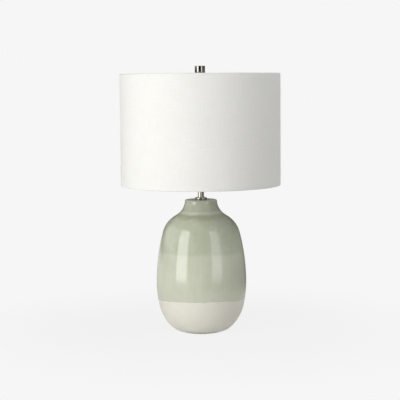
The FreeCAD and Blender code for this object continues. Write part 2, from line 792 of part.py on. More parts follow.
# ---------------------------------------------------------------- bulb
def globe_outline(inset):
    """The envelope's outline from its neck to its crown, moved in by a wall or by nothing."""
    radius = bulb_radius - inset
    centre = station(0, bulb_centre_z)

    def on_globe(degrees):
        a = math.radians(degrees)
        return centre + FreeCAD.Vector(math.cos(a), 0, math.sin(a)) * radius

    join = on_globe(-bulb_taper_angle)
    a = math.radians(bulb_taper_angle)
    downwards = FreeCAD.Vector(-math.sin(a), 0, -math.cos(a))
    taper, _ = tangent_arc(join, downwards, station(bulb_neck_radius - inset, bulb_cap_top_z))
    globe = Part.Arc(join, on_globe((90 - bulb_taper_angle) / 2), on_globe(90)).toShape()
    return [taper.edge(), globe]


def bulb_glass():
    rim = polyline([(bulb_neck_radius, bulb_cap_top_z), (bulb_neck_radius - bulb_wall, bulb_cap_top_z)])
    crown = polyline([(0, bulb_top_z), (0, bulb_top_z - bulb_wall)])
    return revolve(globe_outline(0) + globe_outline(bulb_wall) + rim + crown)


def bulb_filament():
    """A straight coil held up by two lead wires that fan out from the stem."""
    half = filament_span / 2
    coil = swept_wire([line(station(-half, filament_z), station(half, filament_z))], filament_coil_radius)
    leads = [swept_wire([line(station(side * filament_foot_spread, stem_top_z),
                              station(side * half, filament_z))], filament_wire_radius)
             for side in (-1, 1)]
    return single_solid(coil.fuse(leads).cut(upright(stem_radius, stem_z, stem_height)))


def bulb():
    rim_radius = bulb_cap_radius - bulb_insulator_inset
    insulator = turned((0, bulb_tip_top_z), (bulb_tip_radius, bulb_tip_top_z),
                       (rim_radius, bulb_cap_z - bulb_insulator_rim), (rim_radius, bulb_cap_z),
                       (0, bulb_cap_z))
    cap = turned((0, bulb_cap_z), (bulb_cap_radius, bulb_cap_z), (bulb_cap_radius, bulb_cap_top_z),
                 (bulb_cap_inner_radius, bulb_cap_top_z), (bulb_cap_inner_radius, stem_z), (0, stem_z))
    tip = turned((0, bulb_z), (bulb_tip_radius - bulb_tip_crown_run, bulb_z),
                 (bulb_tip_radius, bulb_z + bulb_tip_crown), (bulb_tip_radius, bulb_tip_top_z),
                 (0, bulb_tip_top_z))
    stem_foot_radius = bulb_cap_inner_radius - bulb_cap_sheet
    stem = turned((0, stem_z), (stem_foot_radius, stem_z), (stem_radius, stem_z + stem_flare_height),
                  (stem_pinch_radius, stem_top_z), (0, stem_top_z))
    return {"bulb_glass": bulb_glass(), "bulb_cap": cap, "bulb_insulator": insulator, "bulb_tip": tip,
            "bulb_stem": stem, "bulb_filament": bulb_filament()}


# ---------------------------------------------------------------- shade
def hem_path(sign, ring_z):
    """The fabric's middle line round one ring: over it, back under it and on to the liner."""
    middle = hem_radius - fabric_thickness / 2
    centre = station(ring_radius, ring_z)

    def on_ring(share):
        a = math.radians(hem_turn * share)
        return centre + FreeCAD.Vector(math.cos(a), 0, sign * math.sin(a)) * middle

    over = Arc2D(centre, on_ring(0), on_ring(1 / 4), on_ring(1 / 2))
    under = Arc2D(centre, on_ring(1 / 2), on_ring(3 / 4), on_ring(1))
    a = math.radians(hem_turn)
    heading = FreeCAD.Vector(-math.sin(a), 0, sign * math.cos(a))
    bisector = (heading - UP * sign).normalize()
    run = (liner_inner_radius - fabric_thickness / 2 - under.end.x) / bisector.x
    tuck, _ = tangent_arc(under.end, heading, under.end + bisector * run)
    return over, under, tuck


def spider_turn(shape, index):
    """A shape made along +X, turned to the place of one of the arms."""
    shape.rotate(AXIS_POINT, UP, spider_first_angle + index * 360 / spider_arms)
    return shape


def hem_slits():
    """The cuts in the top hem that the spider's arms pass through."""
    half = shade_wire_radius + hem_slit_clearance
    inner = ring_radius - 2 * hem_radius
    outer = liner_inner_radius + liner_thickness / 2
    depth = 2 * hem_radius + hem_flap
    slit = box(inner, -half, top_ring_z - depth, outer - inner, 2 * half, depth + half)
    return [spider_turn(slit.copy(), k) for k in range(spider_arms)]


def shade_fabric():
    """The drum's fabric, wrapped round the ring at each end: one turned section of even thickness."""
    half = fabric_thickness / 2
    edges = []
    for side in (-half, half):
        starts = []
        for sign, ring_z in ((1, top_ring_z), (-1, bottom_ring_z)):
            over, under, tuck = hem_path(sign, ring_z)
            arcs = [over.offset(side), under.offset(side), tuck.offset(-side)]
            flap_end = arcs[-1].end - UP * sign * hem_flap
            edges += [arc.edge() for arc in arcs]
            edges.append(line(arcs[-1].end, flap_end))
            if side > 0:
                edges.append(line(flap_end, flap_end - RIGHT * fabric_thickness))
            starts.append(arcs[0].start)
        edges.append(line(*starts))
    return single_solid(revolve(edges).cut(hem_slits()))


def wire_ring(z):
    return Part.makeTorus(ring_radius, shade_wire_radius, FreeCAD.Vector(0, 0, z), UP)


def spider_arm(index, top_ring, hub):
    """One arm, from the top ring in and down to the top face of the hub."""
    outer = station(ring_radius, top_ring_z)
    bend = station(ring_radius - spider_bend_start, top_ring_z)
    low = station(bend.x - spider_bend_run, arm_inner_z)
    inner = station(spider_arm_inner_radius, arm_inner_z)
    drop = [arc.edge() for arc in biarc(bend, -RIGHT, low, -RIGHT)]
    arm = swept_wire([line(outer, bend)] + drop + [line(low, inner)], shade_wire_radius)
    return single_solid(spider_turn(arm, index).cut(top_ring).cut(hub))


def shade():
    top_ring = wire_ring(top_ring_z)
    hub = ring(hub_radius, hub_hole_radius, seat_z, hub_thickness)
    pieces = {
        "shade_fabric": shade_fabric(),
        "shade_liner": ring(liner_outer_radius, liner_inner_radius, bottom_ring_z,
                            top_ring_z - bottom_ring_z),
        "shade_top_ring": top_ring,
        "shade_bottom_ring": wire_ring(bottom_ring_z),
        "spider_hub": hub,
    }
    for k in range(spider_arms):
        pieces[f"spider_arm_{k + 1}"] = spider_arm(k, top_ring, hub)
    return pieces


# ---------------------------------------------------------------- finial
def finial():
    rim = finial_radius - finial_edge
    body = turned((0, hub_top_z), (finial_foot_radius, hub_top_z), (finial_foot_radius, finial_body_z),
                  (rim, finial_body_z), (finial_radius, finial_body_z + finial_edge),
                  (finial_radius, finial_top_z - finial_edge), (rim, finial_top_z), (0, finial_top_z))
    socket = upright(insert_radius, hub_top_z - OVERSHOOT, insert_length + OVERSHOOT)
    return {
        "finial_body": body.cut(socket),
        "finial_insert": ring(insert_radius, stud_radius + fit_clearance, hub_top_z, insert_length),
    }


# ---------------------------------------------------------------- assembly
def lamp():
    jar = jar_body()
    pieces = {"jar_body": jar, "base_pad": base_pad(), "cord_grommet": cord_grommet(jar)}
    for group in (neck, harp, lampholder, switch, bulb, shade, finial):
        pieces.update(group())
    return pieces


def main():
    os.makedirs("parts", exist_ok=True)
    for name, shape in lamp().items():
        if not shape.isValid() or shape.Volume <= 0:
            print("not sound:", name, shape.ShapeType, shape.Volume)
        shape.exportStep(f"parts/{name}.step")
        print(f"{name:20s} solids {len(shape.Solids)}  volume {shape.Volume:12.2f}")
    point, normal = outlet_frame()
    print("cord outlet", [round(c, 4) for c in point], "normal", [round(c, 6) for c in normal])
    print("switch axis height", round(key_z, 4), "harp seat", round(seat_z, 4), "top", round(finial_top_z, 4))


main()
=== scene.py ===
"""Dresses the ceramic jar table lamp and lights it in a small studio.

Metres, +Z up, in the lamp's own frame: the origin is the centre of its underside, and +Y is its back.
Colours are written as 8-bit display values and turned into linear ones by ``linear``.
"""
import itertools
import json
import logging
import math
from abc import ABC, abstractmethod
from collections.abc import Iterable
from dataclasses import dataclass, field
from enum import Enum
from typing import Any, ClassVar

import bmesh
import bpy
from bmesh.types import BMEdge, BMesh, BMVert
from bpy.types import Material, NodeSocket, Object, World
from mathutils import Matrix, Vector, noise


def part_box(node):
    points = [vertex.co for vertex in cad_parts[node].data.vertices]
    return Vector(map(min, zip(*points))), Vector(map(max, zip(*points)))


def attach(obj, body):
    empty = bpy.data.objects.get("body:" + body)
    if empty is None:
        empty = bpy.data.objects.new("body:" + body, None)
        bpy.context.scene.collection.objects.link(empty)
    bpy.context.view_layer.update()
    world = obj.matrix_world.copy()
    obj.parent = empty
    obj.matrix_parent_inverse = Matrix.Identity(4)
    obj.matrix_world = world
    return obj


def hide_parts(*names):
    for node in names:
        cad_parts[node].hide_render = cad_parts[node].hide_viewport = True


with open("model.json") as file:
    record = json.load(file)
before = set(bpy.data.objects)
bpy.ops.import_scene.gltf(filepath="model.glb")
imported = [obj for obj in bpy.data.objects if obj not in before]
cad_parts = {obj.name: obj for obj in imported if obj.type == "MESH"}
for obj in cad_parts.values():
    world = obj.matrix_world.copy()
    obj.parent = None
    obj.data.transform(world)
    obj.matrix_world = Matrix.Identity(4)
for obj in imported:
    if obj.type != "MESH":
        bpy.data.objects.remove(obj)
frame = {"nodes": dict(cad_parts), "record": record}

LOG = logging.getLogger("lamp")
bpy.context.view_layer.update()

MM = 0.001
TURN = 2 * math.pi
UP = Vector((0.0, 0.0, 1.0))
WHITE = (255, 255, 255)
MERGE = 0.002 * MM                 # vertices nearer than this are one
CREASE_ANGLE = math.radians(32)    # faces that meet more sharply keep a hard edge

Colour = tuple[float, float, float]
Range = tuple[float, float]
Stop = tuple[float, Colour]


class Body(str, Enum):
    """The moving bodies that pieces ride on."""

    BASE = "base"
    BULB = "bulb"
    SWIVEL = "swivel"
    SHADE = "shade"
    FINIAL = "finial"


class Slot(str, Enum):
    """The record's material slots, by name."""

    GLAZE = "glaze"
    POLISHED_NICKEL = "polished_nickel"
    SATIN_NICKEL = "satin_nickel"
    BRASS = "brass"
    BULB_CAP_METAL = "bulb_cap_metal"
    SHADE_LINEN = "shade_linen"
    SHADE_BACKING = "shade_backing"
    WHITE_WIRE = "white_wire"


class Grain(Enum):
    """How a finish's fine marks run, as the stretch of their pattern along X, Y and Z."""

    EVEN = (1.0, 1.0, 1.0)
    ROUND = (0.04, 0.04, 1.0)
    UPRIGHT = (1.0, 1.0, 0.03)


def linear(colour: Colour) -> tuple[float, float, float, float]:
    """The linear colour, with full alpha, of an 8-bit display colour.

    Args:
        colour: Red, green and blue from 0 to 255.

    Returns:
        Red, green, blue and alpha from 0 to 1.
    """
    parts = []
    for value in colour:
        share = value / 255
        parts.append(share / 12.92 if share <= 0.04045 else ((share + 0.055) / 1.055) ** 2.4)
    return (*parts, 1.0)


def smooth_step(value: float, low: float, high: float) -> float:
    """A soft change from 0 at low to 1 at high."""
    share = min(1.0, max(0.0, (value - low) / (high - low)))
    return share * share * (3 - 2 * share)


# ---------------- node trees
class Graph:
    """The node tree of a material or a world, and helpers that build it up."""

    def __init__(self, owner: Material | World) -> None:
        """Takes over the owner's tree; a material's starts with its Principled shader."""
        owner.use_nodes = True
        self.owner = owner
        self.tree = owner.node_tree
        self.shader = self.tree.nodes.get("Principled BSDF")

    def node(self, kind: str, inputs: dict[str | int, Any] | None = None, **options: Any) -> bpy.types.Node:
        """Adds a node.

        Args:
            kind: The node's type name, after "ShaderNode".
            inputs: What each input takes, a value or another node's output.
            options: The node's own settings.

        Returns:
            The new node.
        """
        made = self.tree.nodes.new("ShaderNode" + kind)
        for name, value in options.items():
            setattr(made, name, value)
        for key, value in (inputs or {}).items():
            self.feed(made.inputs[key], value)
        return made

    def feed(self, socket: NodeSocket, value: Any) -> None:
        """Links an output to a socket, or sets the socket to a number or a display colour."""
        if isinstance(value, NodeSocket):
            self.tree.links.new(value, socket)
        else:
            socket.default_value = linear(value) if socket.type == "RGBA" else value

    def place(self, stretch: Colour = Grain.EVEN.value) -> NodeSocket:
        """Object coordinates in metres, drawn out by a stretch along each axis."""
        where = self.node("TexCoord").outputs["Object"]
        return self.node("Mapping", {"Vector": where, "Scale": stretch}).outputs[0]

    def along(self, axis: str) -> NodeSocket:
        """The place along one axis of the lamp, in metres."""
        return self.node("SeparateXYZ", {0: self.node("TexCoord").outputs["Object"]}).outputs[axis]

    def maths(self, operation: str, *values: Any) -> NodeSocket:
        """One sum on numbers or outputs."""
        return self.node("Math", dict(enumerate(values)), operation=operation).outputs[0]

    def noise(self, where: NodeSocket, size: float, detail: float = 2.0) -> NodeSocket:
        """Cloudy noise from 0 to 1 whose lumps are about size metres across."""
        return self.node("TexNoise", {"Vector": where, "Scale": 1 / size, "Detail": detail}).outputs[0]

    def dots(self, where: NodeSocket, spacing: float, radius: float, share: float) -> NodeSocket:
        """Scattered round dots.

        Args:
            where: The coordinates.
            spacing: Mean distance between the places where a dot may be.
            radius: Largest radius of a dot.
            share: Share of those places that have one, each of its own size.

        Returns:
            1 inside a dot, falling to 0 at its edge.
        """
        cells = self.node("TexVoronoi", {"Vector": where, "Scale": 1 / spacing})
        lot = self.node("SeparateColor", {0: cells.outputs["Color"]}).outputs[0]
        size = self.ramp_value(lot, 1 - share, 1.0, 0.0, radius / spacing)
        reach = self.maths("DIVIDE", cells.outputs["Distance"], self.maths("MAXIMUM", size, 1e-4))
        return self.ramp_value(reach, 0.6, 1.0, 1.0, 0.0)

    def ramp_value(self, value: Any, low: float, high: float, to_low: float, to_high: float) -> NodeSocket:
        """A soft change of a value from one range to another, held at the ends."""
        ends = {"Value": value, "From Min": low, "From Max": high, "To Min": to_low, "To Max": to_high}
        return self.node("MapRange", ends, interpolation_type="SMOOTHSTEP").outputs[0]

    def ramp(self, value: Any, stops: Iterable[Stop]) -> NodeSocket:
        """A colour that changes along a value through stops of (position, display colour)."""
        made = self.node("ValToRGB", {0: value})
        bar = made.color_ramp
        wanted = list(stops)
        while len(bar.elements) < len(wanted):
            bar.elements.new(1.0)
        for element, (position, colour) in zip(bar.elements, wanted):
            element.position = position
            element.color = linear(colour)
        return made.outputs["Color"]

    def mix(self, share: Any, first: Any, second: Any) -> NodeSocket:
        """Two colours mixed by a share from 0 to 1."""
        return self.node("Mix", {0: share, 6: first, 7: second}, data_type="RGBA").outputs[2]

    def blend(self, share: Any, first: bpy.types.Node, second: bpy.types.Node) -> bpy.types.Node:
        """Two shaders mixed by a share from 0 to 1."""
        return self.node("MixShader", {0: share, 1: first.outputs[0], 2: second.outputs[0]})

    def seen(self, ray: bpy.types.Node) -> NodeSocket:
        """1 for rays from the camera, also through glass."""
        return self.maths("MAXIMUM", ray.outputs["Is Camera Ray"], ray.outputs["Is Transmission Ray"])

    def bump(self, depth: float, height: Any, below: Any = None) -> NodeSocket:
        """A normal bent by a height from 0 to 1 that stands for depth metres."""
        inputs = {"Height": height, "Distance": depth, "Strength": 1.0}
        if below is not None:
            inputs["Normal"] = below
        return self.node("Bump", inputs).outputs[0]


# ---------------- finishes
@dataclass(frozen=True)
class Finish(ABC):
    """What one surface is made of."""

    name: str
    colour: Colour

    def material(self) -> Material:
        """The finish as a Blender material."""
        graph = Graph(bpy.data.materials.new(self.name))
        for name, value in self.sockets(graph).items():
            graph.feed(graph.shader.inputs[name.replace("_", " ")], value)
        return graph.owner

    @abstractmethod
    def sockets(self, graph: Graph) -> dict[str, Any]:
        """What the sockets of the Principled shader take, by names with underscores."""


@dataclass(frozen=True)
class Moulding(Finish):
    """Plastic, rubber, paint or card with a fine grain and faint clouds of a second tone."""

    METALLIC: ClassVar[float] = 0.0
    MARK_DETAIL: ClassVar[float] = 3.0
    CLOUD_SIZE: ClassVar[float] = 9 * MM
    CLOUD_DETAIL: ClassVar[float] = 4.0
    CLOUD_EDGE: ClassVar[Range] = (0.4, 0.75)
    SPREAD: ClassVar[Range] = (0.85, 1.15)

    roughness: float
    grain_size: float = 0.8 * MM
    mark_depth: float = 0.01 * MM
    cloud: Colour = (128, 128, 128)
    cloud_share: float = 0.08
    grain: Grain = Grain.EVEN

    def sockets(self, graph: Graph) -> dict[str, Any]:
        """A body whose roughness varies along its grain and whose tone varies in clouds."""
        marks = graph.noise(graph.place(self.grain.value), self.grain_size, self.MARK_DETAIL)
        clouds = graph.noise(graph.place(), self.CLOUD_SIZE, self.CLOUD_DETAIL)
        share = graph.ramp_value(clouds, *self.CLOUD_EDGE, 0.0, self.cloud_share)
        low, high = self.SPREAD
        return dict(
            Base_Color=graph.mix(share, self.colour, self.cloud),
            Roughness=graph.ramp_value(marks, 0.2, 0.8, self.roughness * low, self.roughness * high),
            Metallic=self.METALLIC,
            Normal=graph.bump(self.mark_depth, marks),
        )


@dataclass(frozen=True)
class Plating(Moulding):
    """Polished, brushed or cast metal with fine marks and a little tarnish."""

    METALLIC = 1.0
    MARK_DETAIL = 4.0
    CLOUD_SIZE = 14 * MM
    CLOUD_DETAIL = 3.0
    CLOUD_EDGE = (0.45, 0.8)
    SPREAD = (0.75, 1.35)

    grain_size: float = 0.6 * MM
    mark_depth: float = 0.002 * MM
    cloud: Colour = (120, 110, 95)
    cloud_share: float = 0.12


@dataclass(frozen=True)
class Felt(Finish):
    """Pressed wool: matted fibres with a soft sheen."""

    fibre_size: float = 0.5 * MM
    fibre_depth: float = 0.25 * MM
    light_fibre: Colour = (86, 96, 86)

    def sockets(self, graph: Graph) -> dict[str, Any]:
        """A matte, fuzzy face flecked with lighter fibres."""
        fibres = graph.noise(graph.place((1.0, 0.25, 1.0)), self.fibre_size, 6.0)
        share = graph.ramp_value(fibres, 0.4, 0.7, 0.0, 1.0)
        return dict(
            Base_Color=graph.mix(share, self.colour, self.light_fibre),
            Roughness=0.95,
            Sheen_Weight=0.4,
            Normal=graph.bump(self.fibre_depth, fibres),
        )


@dataclass(frozen=True)
class Glass(Finish):
    """Glass, clear or with a finely etched inside."""

    roughness: float
    clearness: float
    ripple_depth: float = 0.01 * MM

    def sockets(self, graph: Graph) -> dict[str, Any]:
        """A transmitting body with slightly uneven faces."""
        ripple = graph.noise(graph.place(), 6 * MM, 1.0)
        etch = graph.noise(graph.place(), 0.4 * MM, 3.0)
        return dict(
            Base_Color=self.colour,
            Roughness=graph.ramp_value(etch, 0.2, 0.8, self.roughness * 0.85, self.roughness * 1.1),
            Transmission_Weight=self.clearness,
            IOR=1.5,
            Normal=graph.bump(self.ripple_depth, ripple),
        )


@dataclass(frozen=True)
class PlainWeave(Finish):
    """A woven cloth laminated to a stiff backing. Its UV map is in metres along warp and weft."""

    # darker tone: painted shade in the weave's hollows, and the tone of the slubs
    shade: Colour = (228, 228, 222)
    thread_pitch: float = 0.55 * MM
    thread_depth: float = 0.06 * MM
    slub_length: float = 26 * MM
    uv_map: str = "cloth"

    def sockets(self, graph: Graph) -> dict[str, Any]:
        """Threads that cross over and under each other, some a little thicker than others, with painted shade
        in the hollows between them.
        """
        cloth = graph.node("UVMap", uv_map=self.uv_map).outputs[0]
        parts = graph.node("SeparateXYZ", {0: cloth})
        waves = []
        slubs = []
        for axis, stretch in (("X", (1.0, self.thread_pitch / self.slub_length, 1.0)),
                              ("Y", (self.thread_pitch / self.slub_length, 1.0, 1.0))):
            turns = graph.maths("MULTIPLY", parts.outputs[axis], math.pi / self.thread_pitch)
            waves.append(graph.maths("SINE", turns))
            drawn = graph.node("Mapping", {"Vector": cloth, "Scale": stretch}).outputs[0]
            slubs.append(graph.noise(drawn, 1.6 * self.thread_pitch, 2.0))
        crossing = graph.maths("MULTIPLY_ADD", graph.maths("MULTIPLY", *waves), 0.5, 0.5)
        slub = graph.maths("MULTIPLY", graph.maths("ADD", *slubs), 0.5)
        height = graph.maths("ADD", crossing, slub)
        # painted shade: the hollows where a thread passes under another are darkened
        painted_gap_shade = graph.ramp_value(crossing, 0.0, 0.5, 0.5, 0.0)
        thick = graph.ramp_value(slub, 0.35, 0.65, 0.45, 0.0)
        share = graph.maths("MINIMUM", graph.maths("ADD", painted_gap_shade, thick), 1.0)
        return dict(
            Base_Color=graph.mix(share, self.colour, self.shade),
            Roughness=0.85,
            Sheen_Weight=0.08,
            Normal=graph.bump(self.thread_depth, height),
        )


@dataclass(frozen=True)
class TwoDipGlaze(Finish):
    """Sage glaze in two overlapping dips over bare cream stoneware, with shade and a highlight painted at the
    crease.
    """

    upper: Colour = (190, 195, 173)
    # the pooled tone also paints shade in the crease band, and the thin tone also paints a highlight line
    # just above the crease
    pooled_glaze_and_crease_shade: Colour = (176, 180, 150)
    thin: Colour = (212, 216, 198)
    cream: Colour = (230, 228, 216)
    cream_warm: Colour = (226, 221, 207)
    speck: Colour = (240, 241, 230)
    iron: Colour = (150, 142, 118)
    specks: tuple[float, float, float] = (13 * MM, 1.2 * MM, 0.3)       # spacing, radius and share
    pinholes: tuple[float, float, float] = (4.5 * MM, 0.3 * MM, 0.3)
    grog: tuple[float, float, float] = (3.2 * MM, 0.28 * MM, 0.25)
    jar_height: float = 0.3375
    second_dip: float = 0.2065
    crease: float = 0.3045
    edge_attribute: str = "above_edge"
    gloss: float = 0.09
    satin: float = 0.5

    def sockets(self, graph: Graph) -> dict[str, Any]:
        """Glossy glaze above its edge and a satin clay body below it."""
        where = graph.place()
        above = graph.node("Attribute", attribute_name=self.edge_attribute).outputs["Fac"]
        cover = graph.ramp_value(above, -0.1 * MM, 0.35 * MM, 0.0, 1.0)

        # tone of the glaze with height: each dip, the pool in the crease with painted shade in it, a thin
        # line just above it that is also a painted highlight, and the thin lip
        wander = graph.maths("MULTIPLY_ADD", graph.noise(where, 45 * MM, 3.0), 5 * MM, -2.5 * MM)
        level = graph.maths("DIVIDE", graph.maths("ADD", graph.along("Z"), wander), self.jar_height)
        dip = self.second_dip / self.jar_height
        crease = self.crease / self.jar_height
        tone = graph.ramp(level, (
            (0.0, self.colour), (dip - 0.012, self.colour), (dip + 0.012, self.upper),
            (crease - 0.05, self.upper), (crease - 0.012, self.pooled_glaze_and_crease_shade), (crease + 0.006, self.thin),
            (crease + 0.02, self.upper), (0.985, self.upper), (1.0, self.thin)))
        runs = graph.noise(graph.place((1.0, 1.0, 0.12)), 9 * MM, 3.0)
        clouds = graph.noise(where, 16 * MM, 4.0)
        mottle = graph.noise(where, 2.2 * MM, 2.0)
        tone = graph.mix(graph.ramp_value(runs, 0.35, 0.7, 0.0, 0.16), tone, self.pooled_glaze_and_crease_shade)
        tone = graph.mix(graph.ramp_value(clouds, 0.4, 0.7, 0.0, 0.2), tone, self.thin)
        tone = graph.mix(graph.ramp_value(mottle, 0.4, 0.75, 0.0, 0.12), tone, self.pooled_glaze_and_crease_shade)
        specks = graph.dots(where, *self.specks)
        tone = graph.mix(graph.maths("MULTIPLY", specks, 0.85), tone, self.speck)
        pinholes = graph.dots(where, *self.pinholes)
        tone = graph.mix(graph.maths("MULTIPLY", pinholes, 0.35), tone, self.iron)
        bead = graph.ramp_value(above, 0.2 * MM, 2.6 * MM, 0.35, 0.0)
        tone = graph.mix(bead, tone, self.pooled_glaze_and_crease_shade)

        clay_clouds = graph.ramp_value(graph.noise(where, 22 * MM, 3.0), 0.35, 0.7, 0.0, 0.5)
        clay = graph.mix(clay_clouds, self.cream, self.cream_warm)
        grog = graph.dots(where, *self.grog)
        clay = graph.mix(graph.maths("MULTIPLY", grog, 0.3), clay, self.iron)

        sand = graph.noise(where, 0.7 * MM, 3.0)
        ripple = graph.maths("ADD", graph.noise(where, 9 * MM, 1.0), graph.maths("MULTIPLY", mottle, 0.3))
        pits = graph.maths("MULTIPLY_ADD", pinholes, -1.5, graph.maths("MULTIPLY", ripple, cover))
        bare_sand = graph.maths("MULTIPLY", sand, graph.maths("SUBTRACT", 1.0, cover))
        rough = graph.ramp_value(mottle, 0.2, 0.8, self.gloss * 0.8, self.gloss * 1.6)
        satin = graph.maths("MULTIPLY_ADD", sand, 0.12, self.satin)
        roughness = graph.node("Mix", {0: cover, 2: satin, 3: rough}, data_type="FLOAT").outputs[0]
        return dict(
            Base_Color=graph.mix(cover, clay, tone),
            Roughness=roughness,
            IOR=1.7,
            Normal=graph.bump(0.03 * MM, bare_sand, graph.bump(0.05 * MM, pits)),
        )


GLAZE = TwoDipGlaze("sage_glaze_on_stoneware", (205, 208, 188))
FELT = Felt("wool_felt", (44, 50, 44))
RUBBER = Moulding("grommet_rubber", (30, 30, 30), 0.7, cloud=(60, 60, 58))
ZINC = Plating("zinc_plate", (196, 198, 200), 0.32, grain_size=2.5 * MM)
POLISHED = Plating("polished_nickel_plate", (178, 174, 164), 0.11, cloud_share=0.06, grain=Grain.ROUND)
SATIN = Plating("satin_nickel_plate", (200, 196, 188), 0.26, 0.35 * MM, 0.004 * MM, grain=Grain.UPRIGHT)
SHELL = Plating("plated_shell_sheet", (206, 202, 192), 0.2, 0.5 * MM, 0.003 * MM, grain=Grain.ROUND)
CARD = Moulding("pressed_card", (176, 146, 104), 0.8, 0.5 * MM, 0.05 * MM, (140, 112, 76), 0.5)
PHENOLIC = Moulding("phenolic_moulding", (26, 23, 21), 0.22, 1.2 * MM, 0.004 * MM, (58, 46, 38), 0.3)
BRASS = Plating("bare_brass", (206, 172, 104), 0.24, cloud=(120, 86, 44), cloud_share=0.4, grain=Grain.ROUND)
FROSTED = Glass("frosted_envelope", (250, 250, 246), 0.5, 0.82)
CLEAR = Glass("clear_stem_glass", (240, 246, 246), 0.04, 0.95)
BLACK_GLASS = Glass("black_glass", (12, 12, 14), 0.08, 0.0)
ALUMINIUM = Plating("rolled_aluminium", (214, 214, 216), 0.18, grain=Grain.ROUND)
SOLDER = Plating("dull_solder", (160, 160, 158), 0.45, grain_size=1.5 * MM, mark_depth=0.05 * MM)
TUNGSTEN = Plating("drawn_tungsten", (98, 96, 94), 0.35, grain_size=0.2 * MM)
LINEN = PlainWeave("white_shade_cloth", (243, 242, 238))
STYRENE = Moulding("backing_sheet", (244, 244, 240), 0.42, 1.4 * MM, 0.006 * MM, (226, 226, 220), 0.3)
ENAMEL = Moulding("white_enamel", (238, 237, 232), 0.3, 2.0 * MM, 0.02 * MM, (214, 212, 204), 0.3)


# ---------------- turned forms
class Turning:
    """A pen that draws an outline in the XZ plane and then spins it about the lamp's axis.

    Points are (radius, height) in metres. The pen keeps its heading, so that an arc can leave the last
    stretch without a corner.
    """

    SECTORS = 12

    def __init__(self, radius: float, height: float, bm: BMesh | None = None) -> None:
        """Puts the pen down.

        Args:
            radius: Distance of the first point from the axis.
            height: Height of the first point.
            bm: The mesh to draw in, or None for a new one.
        """
        self.bm = bm or bmesh.new()
        self.tip = self.bm.verts.new((radius, 0.0, height))
        self.heading = Vector((0.0, 1.0))

    @property
    def here(self) -> Vector:
        """The pen's (radius, height)."""
        return Vector((self.tip.co.x, self.tip.co.z))

    def head(self, radius: float, height: float) -> "Turning":
        """Turns the pen to a direction in the (radius, height) plane."""
        self.heading = Vector((radius, height)).normalized()
        return self

    def line(self, radius: float, height: float, spacing: float = 1.0) -> "Turning":
        """Draws a straight stretch to a point, with a vertex at each spacing."""
        run = Vector((radius, height)) - self.here
        pieces = max(1, math.ceil(run.length / spacing))
        for _ in range(pieces):
            self.tip = bmesh.ops.extrude_vert_indiv(self.bm, verts=[self.tip])["verts"][0]
            self.tip.co += Vector((run.x, 0.0, run.y)) / pieces
        return self.head(*run)

    def arc(self, radius: float, height: float, spacing: float) -> "Turning":
        """Draws the arc that leaves along the heading and reaches a point."""
        chord = Vector((radius, height)) - self.here
        across = Vector((-self.heading.y, self.heading.x))
        centre = self.here + across * (chord.length_squared / (2 * chord.dot(across)))
        turn = 2 * math.atan2(self.heading.x * chord.y - self.heading.y * chord.x, self.heading.dot(chord))
        return self.swing(centre, turn, spacing)

    def swing(self, centre: Vector, turn: float, spacing: float) -> "Turning":
        """Draws an arc about a centre, through an angle that is positive from +radius towards +height."""
        length = abs(turn) * (self.here - centre).length
        pieces = max(1, math.ceil(length / spacing))
        made = bmesh.ops.spin(self.bm, geom=[self.tip], cent=(centre.x, 0.0, centre.y), axis=(0.0, -1.0, 0.0),
                              angle=turn, steps=pieces)
        self.tip = next(v for v in made["geom_last"] if isinstance(v, BMVert))
        self.heading = Matrix.Rotation(turn, 2) @ self.heading
        return self

    def level_off(self, height: float, spacing: float) -> "Turning":
        """Draws the arc that ends level at a height, running inwards."""
        bisector = (self.heading - Vector((1.0, 0.0))).normalized()
        goal = self.here + bisector * ((height - self.here.y) / bisector.y)
        return self.arc(goal.x, goal.y, spacing)

    def spin(self, steps: int) -> BMesh:
        """Spins the outline once round the axis, one sector first, and closes its seams and poles."""
        sector = TURN / self.SECTORS
        revolve(self.bm, sector, steps // self.SECTORS)
        revolve(self.bm, TURN - sector, self.SECTORS - 1, use_duplicate=True)
        return tidy(self.bm)


def revolve(bm: BMesh, angle: float, steps: int, **options: Any) -> None:
    """Spins a whole mesh about the lamp's axis."""
    bmesh.ops.spin(bm, geom=bm.verts[:] + bm.edges[:] + bm.faces[:], cent=(0.0, 0.0, 0.0), axis=UP,
                   angle=angle, steps=steps, **options)


def thicken(piece: Object, thickness: float) -> None:
    """Makes a solid sheet of a surface, half to each side."""
    sheet = piece.modifiers.new("sheet", "SOLIDIFY")
    sheet.thickness = thickness
    sheet.offset = 0.0


def tidy(bm: BMesh) -> BMesh:
    """Merges what coincides and points every face outwards."""
    bmesh.ops.remove_doubles(bm, verts=bm.verts, dist=MERGE)
    bmesh.ops.recalc_face_normals(bm, faces=bm.faces)
    return bm


def helix(crest: float, root: float, low: float, high: float, pitch: float, steps: int = 24) -> BMesh:
    """A screw thread as a closed bar, cut off level at both ends.

    Args:
        crest: Radius of the thread's crest.
        root: Radius of its root.
        low: Height of the lower end.
        high: Height of the upper end.
        pitch: Rise in one turn.
        steps: Facets in one turn.

    Returns:
        The thread's mesh.
    """
    pen = Turning(root, low - pitch)
    middle = (crest + root) / 2
    pen.arc(middle, low - 0.75 * pitch, pitch / 8).arc(crest, low - 0.5 * pitch, pitch / 8)
    pen.arc(middle, low - 0.25 * pitch, pitch / 8).arc(root, low, pitch / 8)
    turns = math.ceil((high - low) / pitch) + 1
    revolve(pen.bm, TURN * turns, steps * turns, dvec=UP * (pitch / steps))
    bmesh.ops.remove_doubles(pen.bm, verts=pen.bm.verts, dist=MERGE)
    for end, away in ((low, -UP), (high, UP)):
        cut = bmesh.ops.bisect_plane(pen.bm, geom=pen.bm.verts[:] + pen.bm.edges[:] + pen.bm.faces[:],
                                     plane_co=UP * end, plane_no=away, clear_outer=True)
        rim = [e for e in cut["geom_cut"] if isinstance(e, BMEdge)]
        bmesh.ops.edgeloop_fill(pen.bm, edges=rim)
    return tidy(pen.bm)


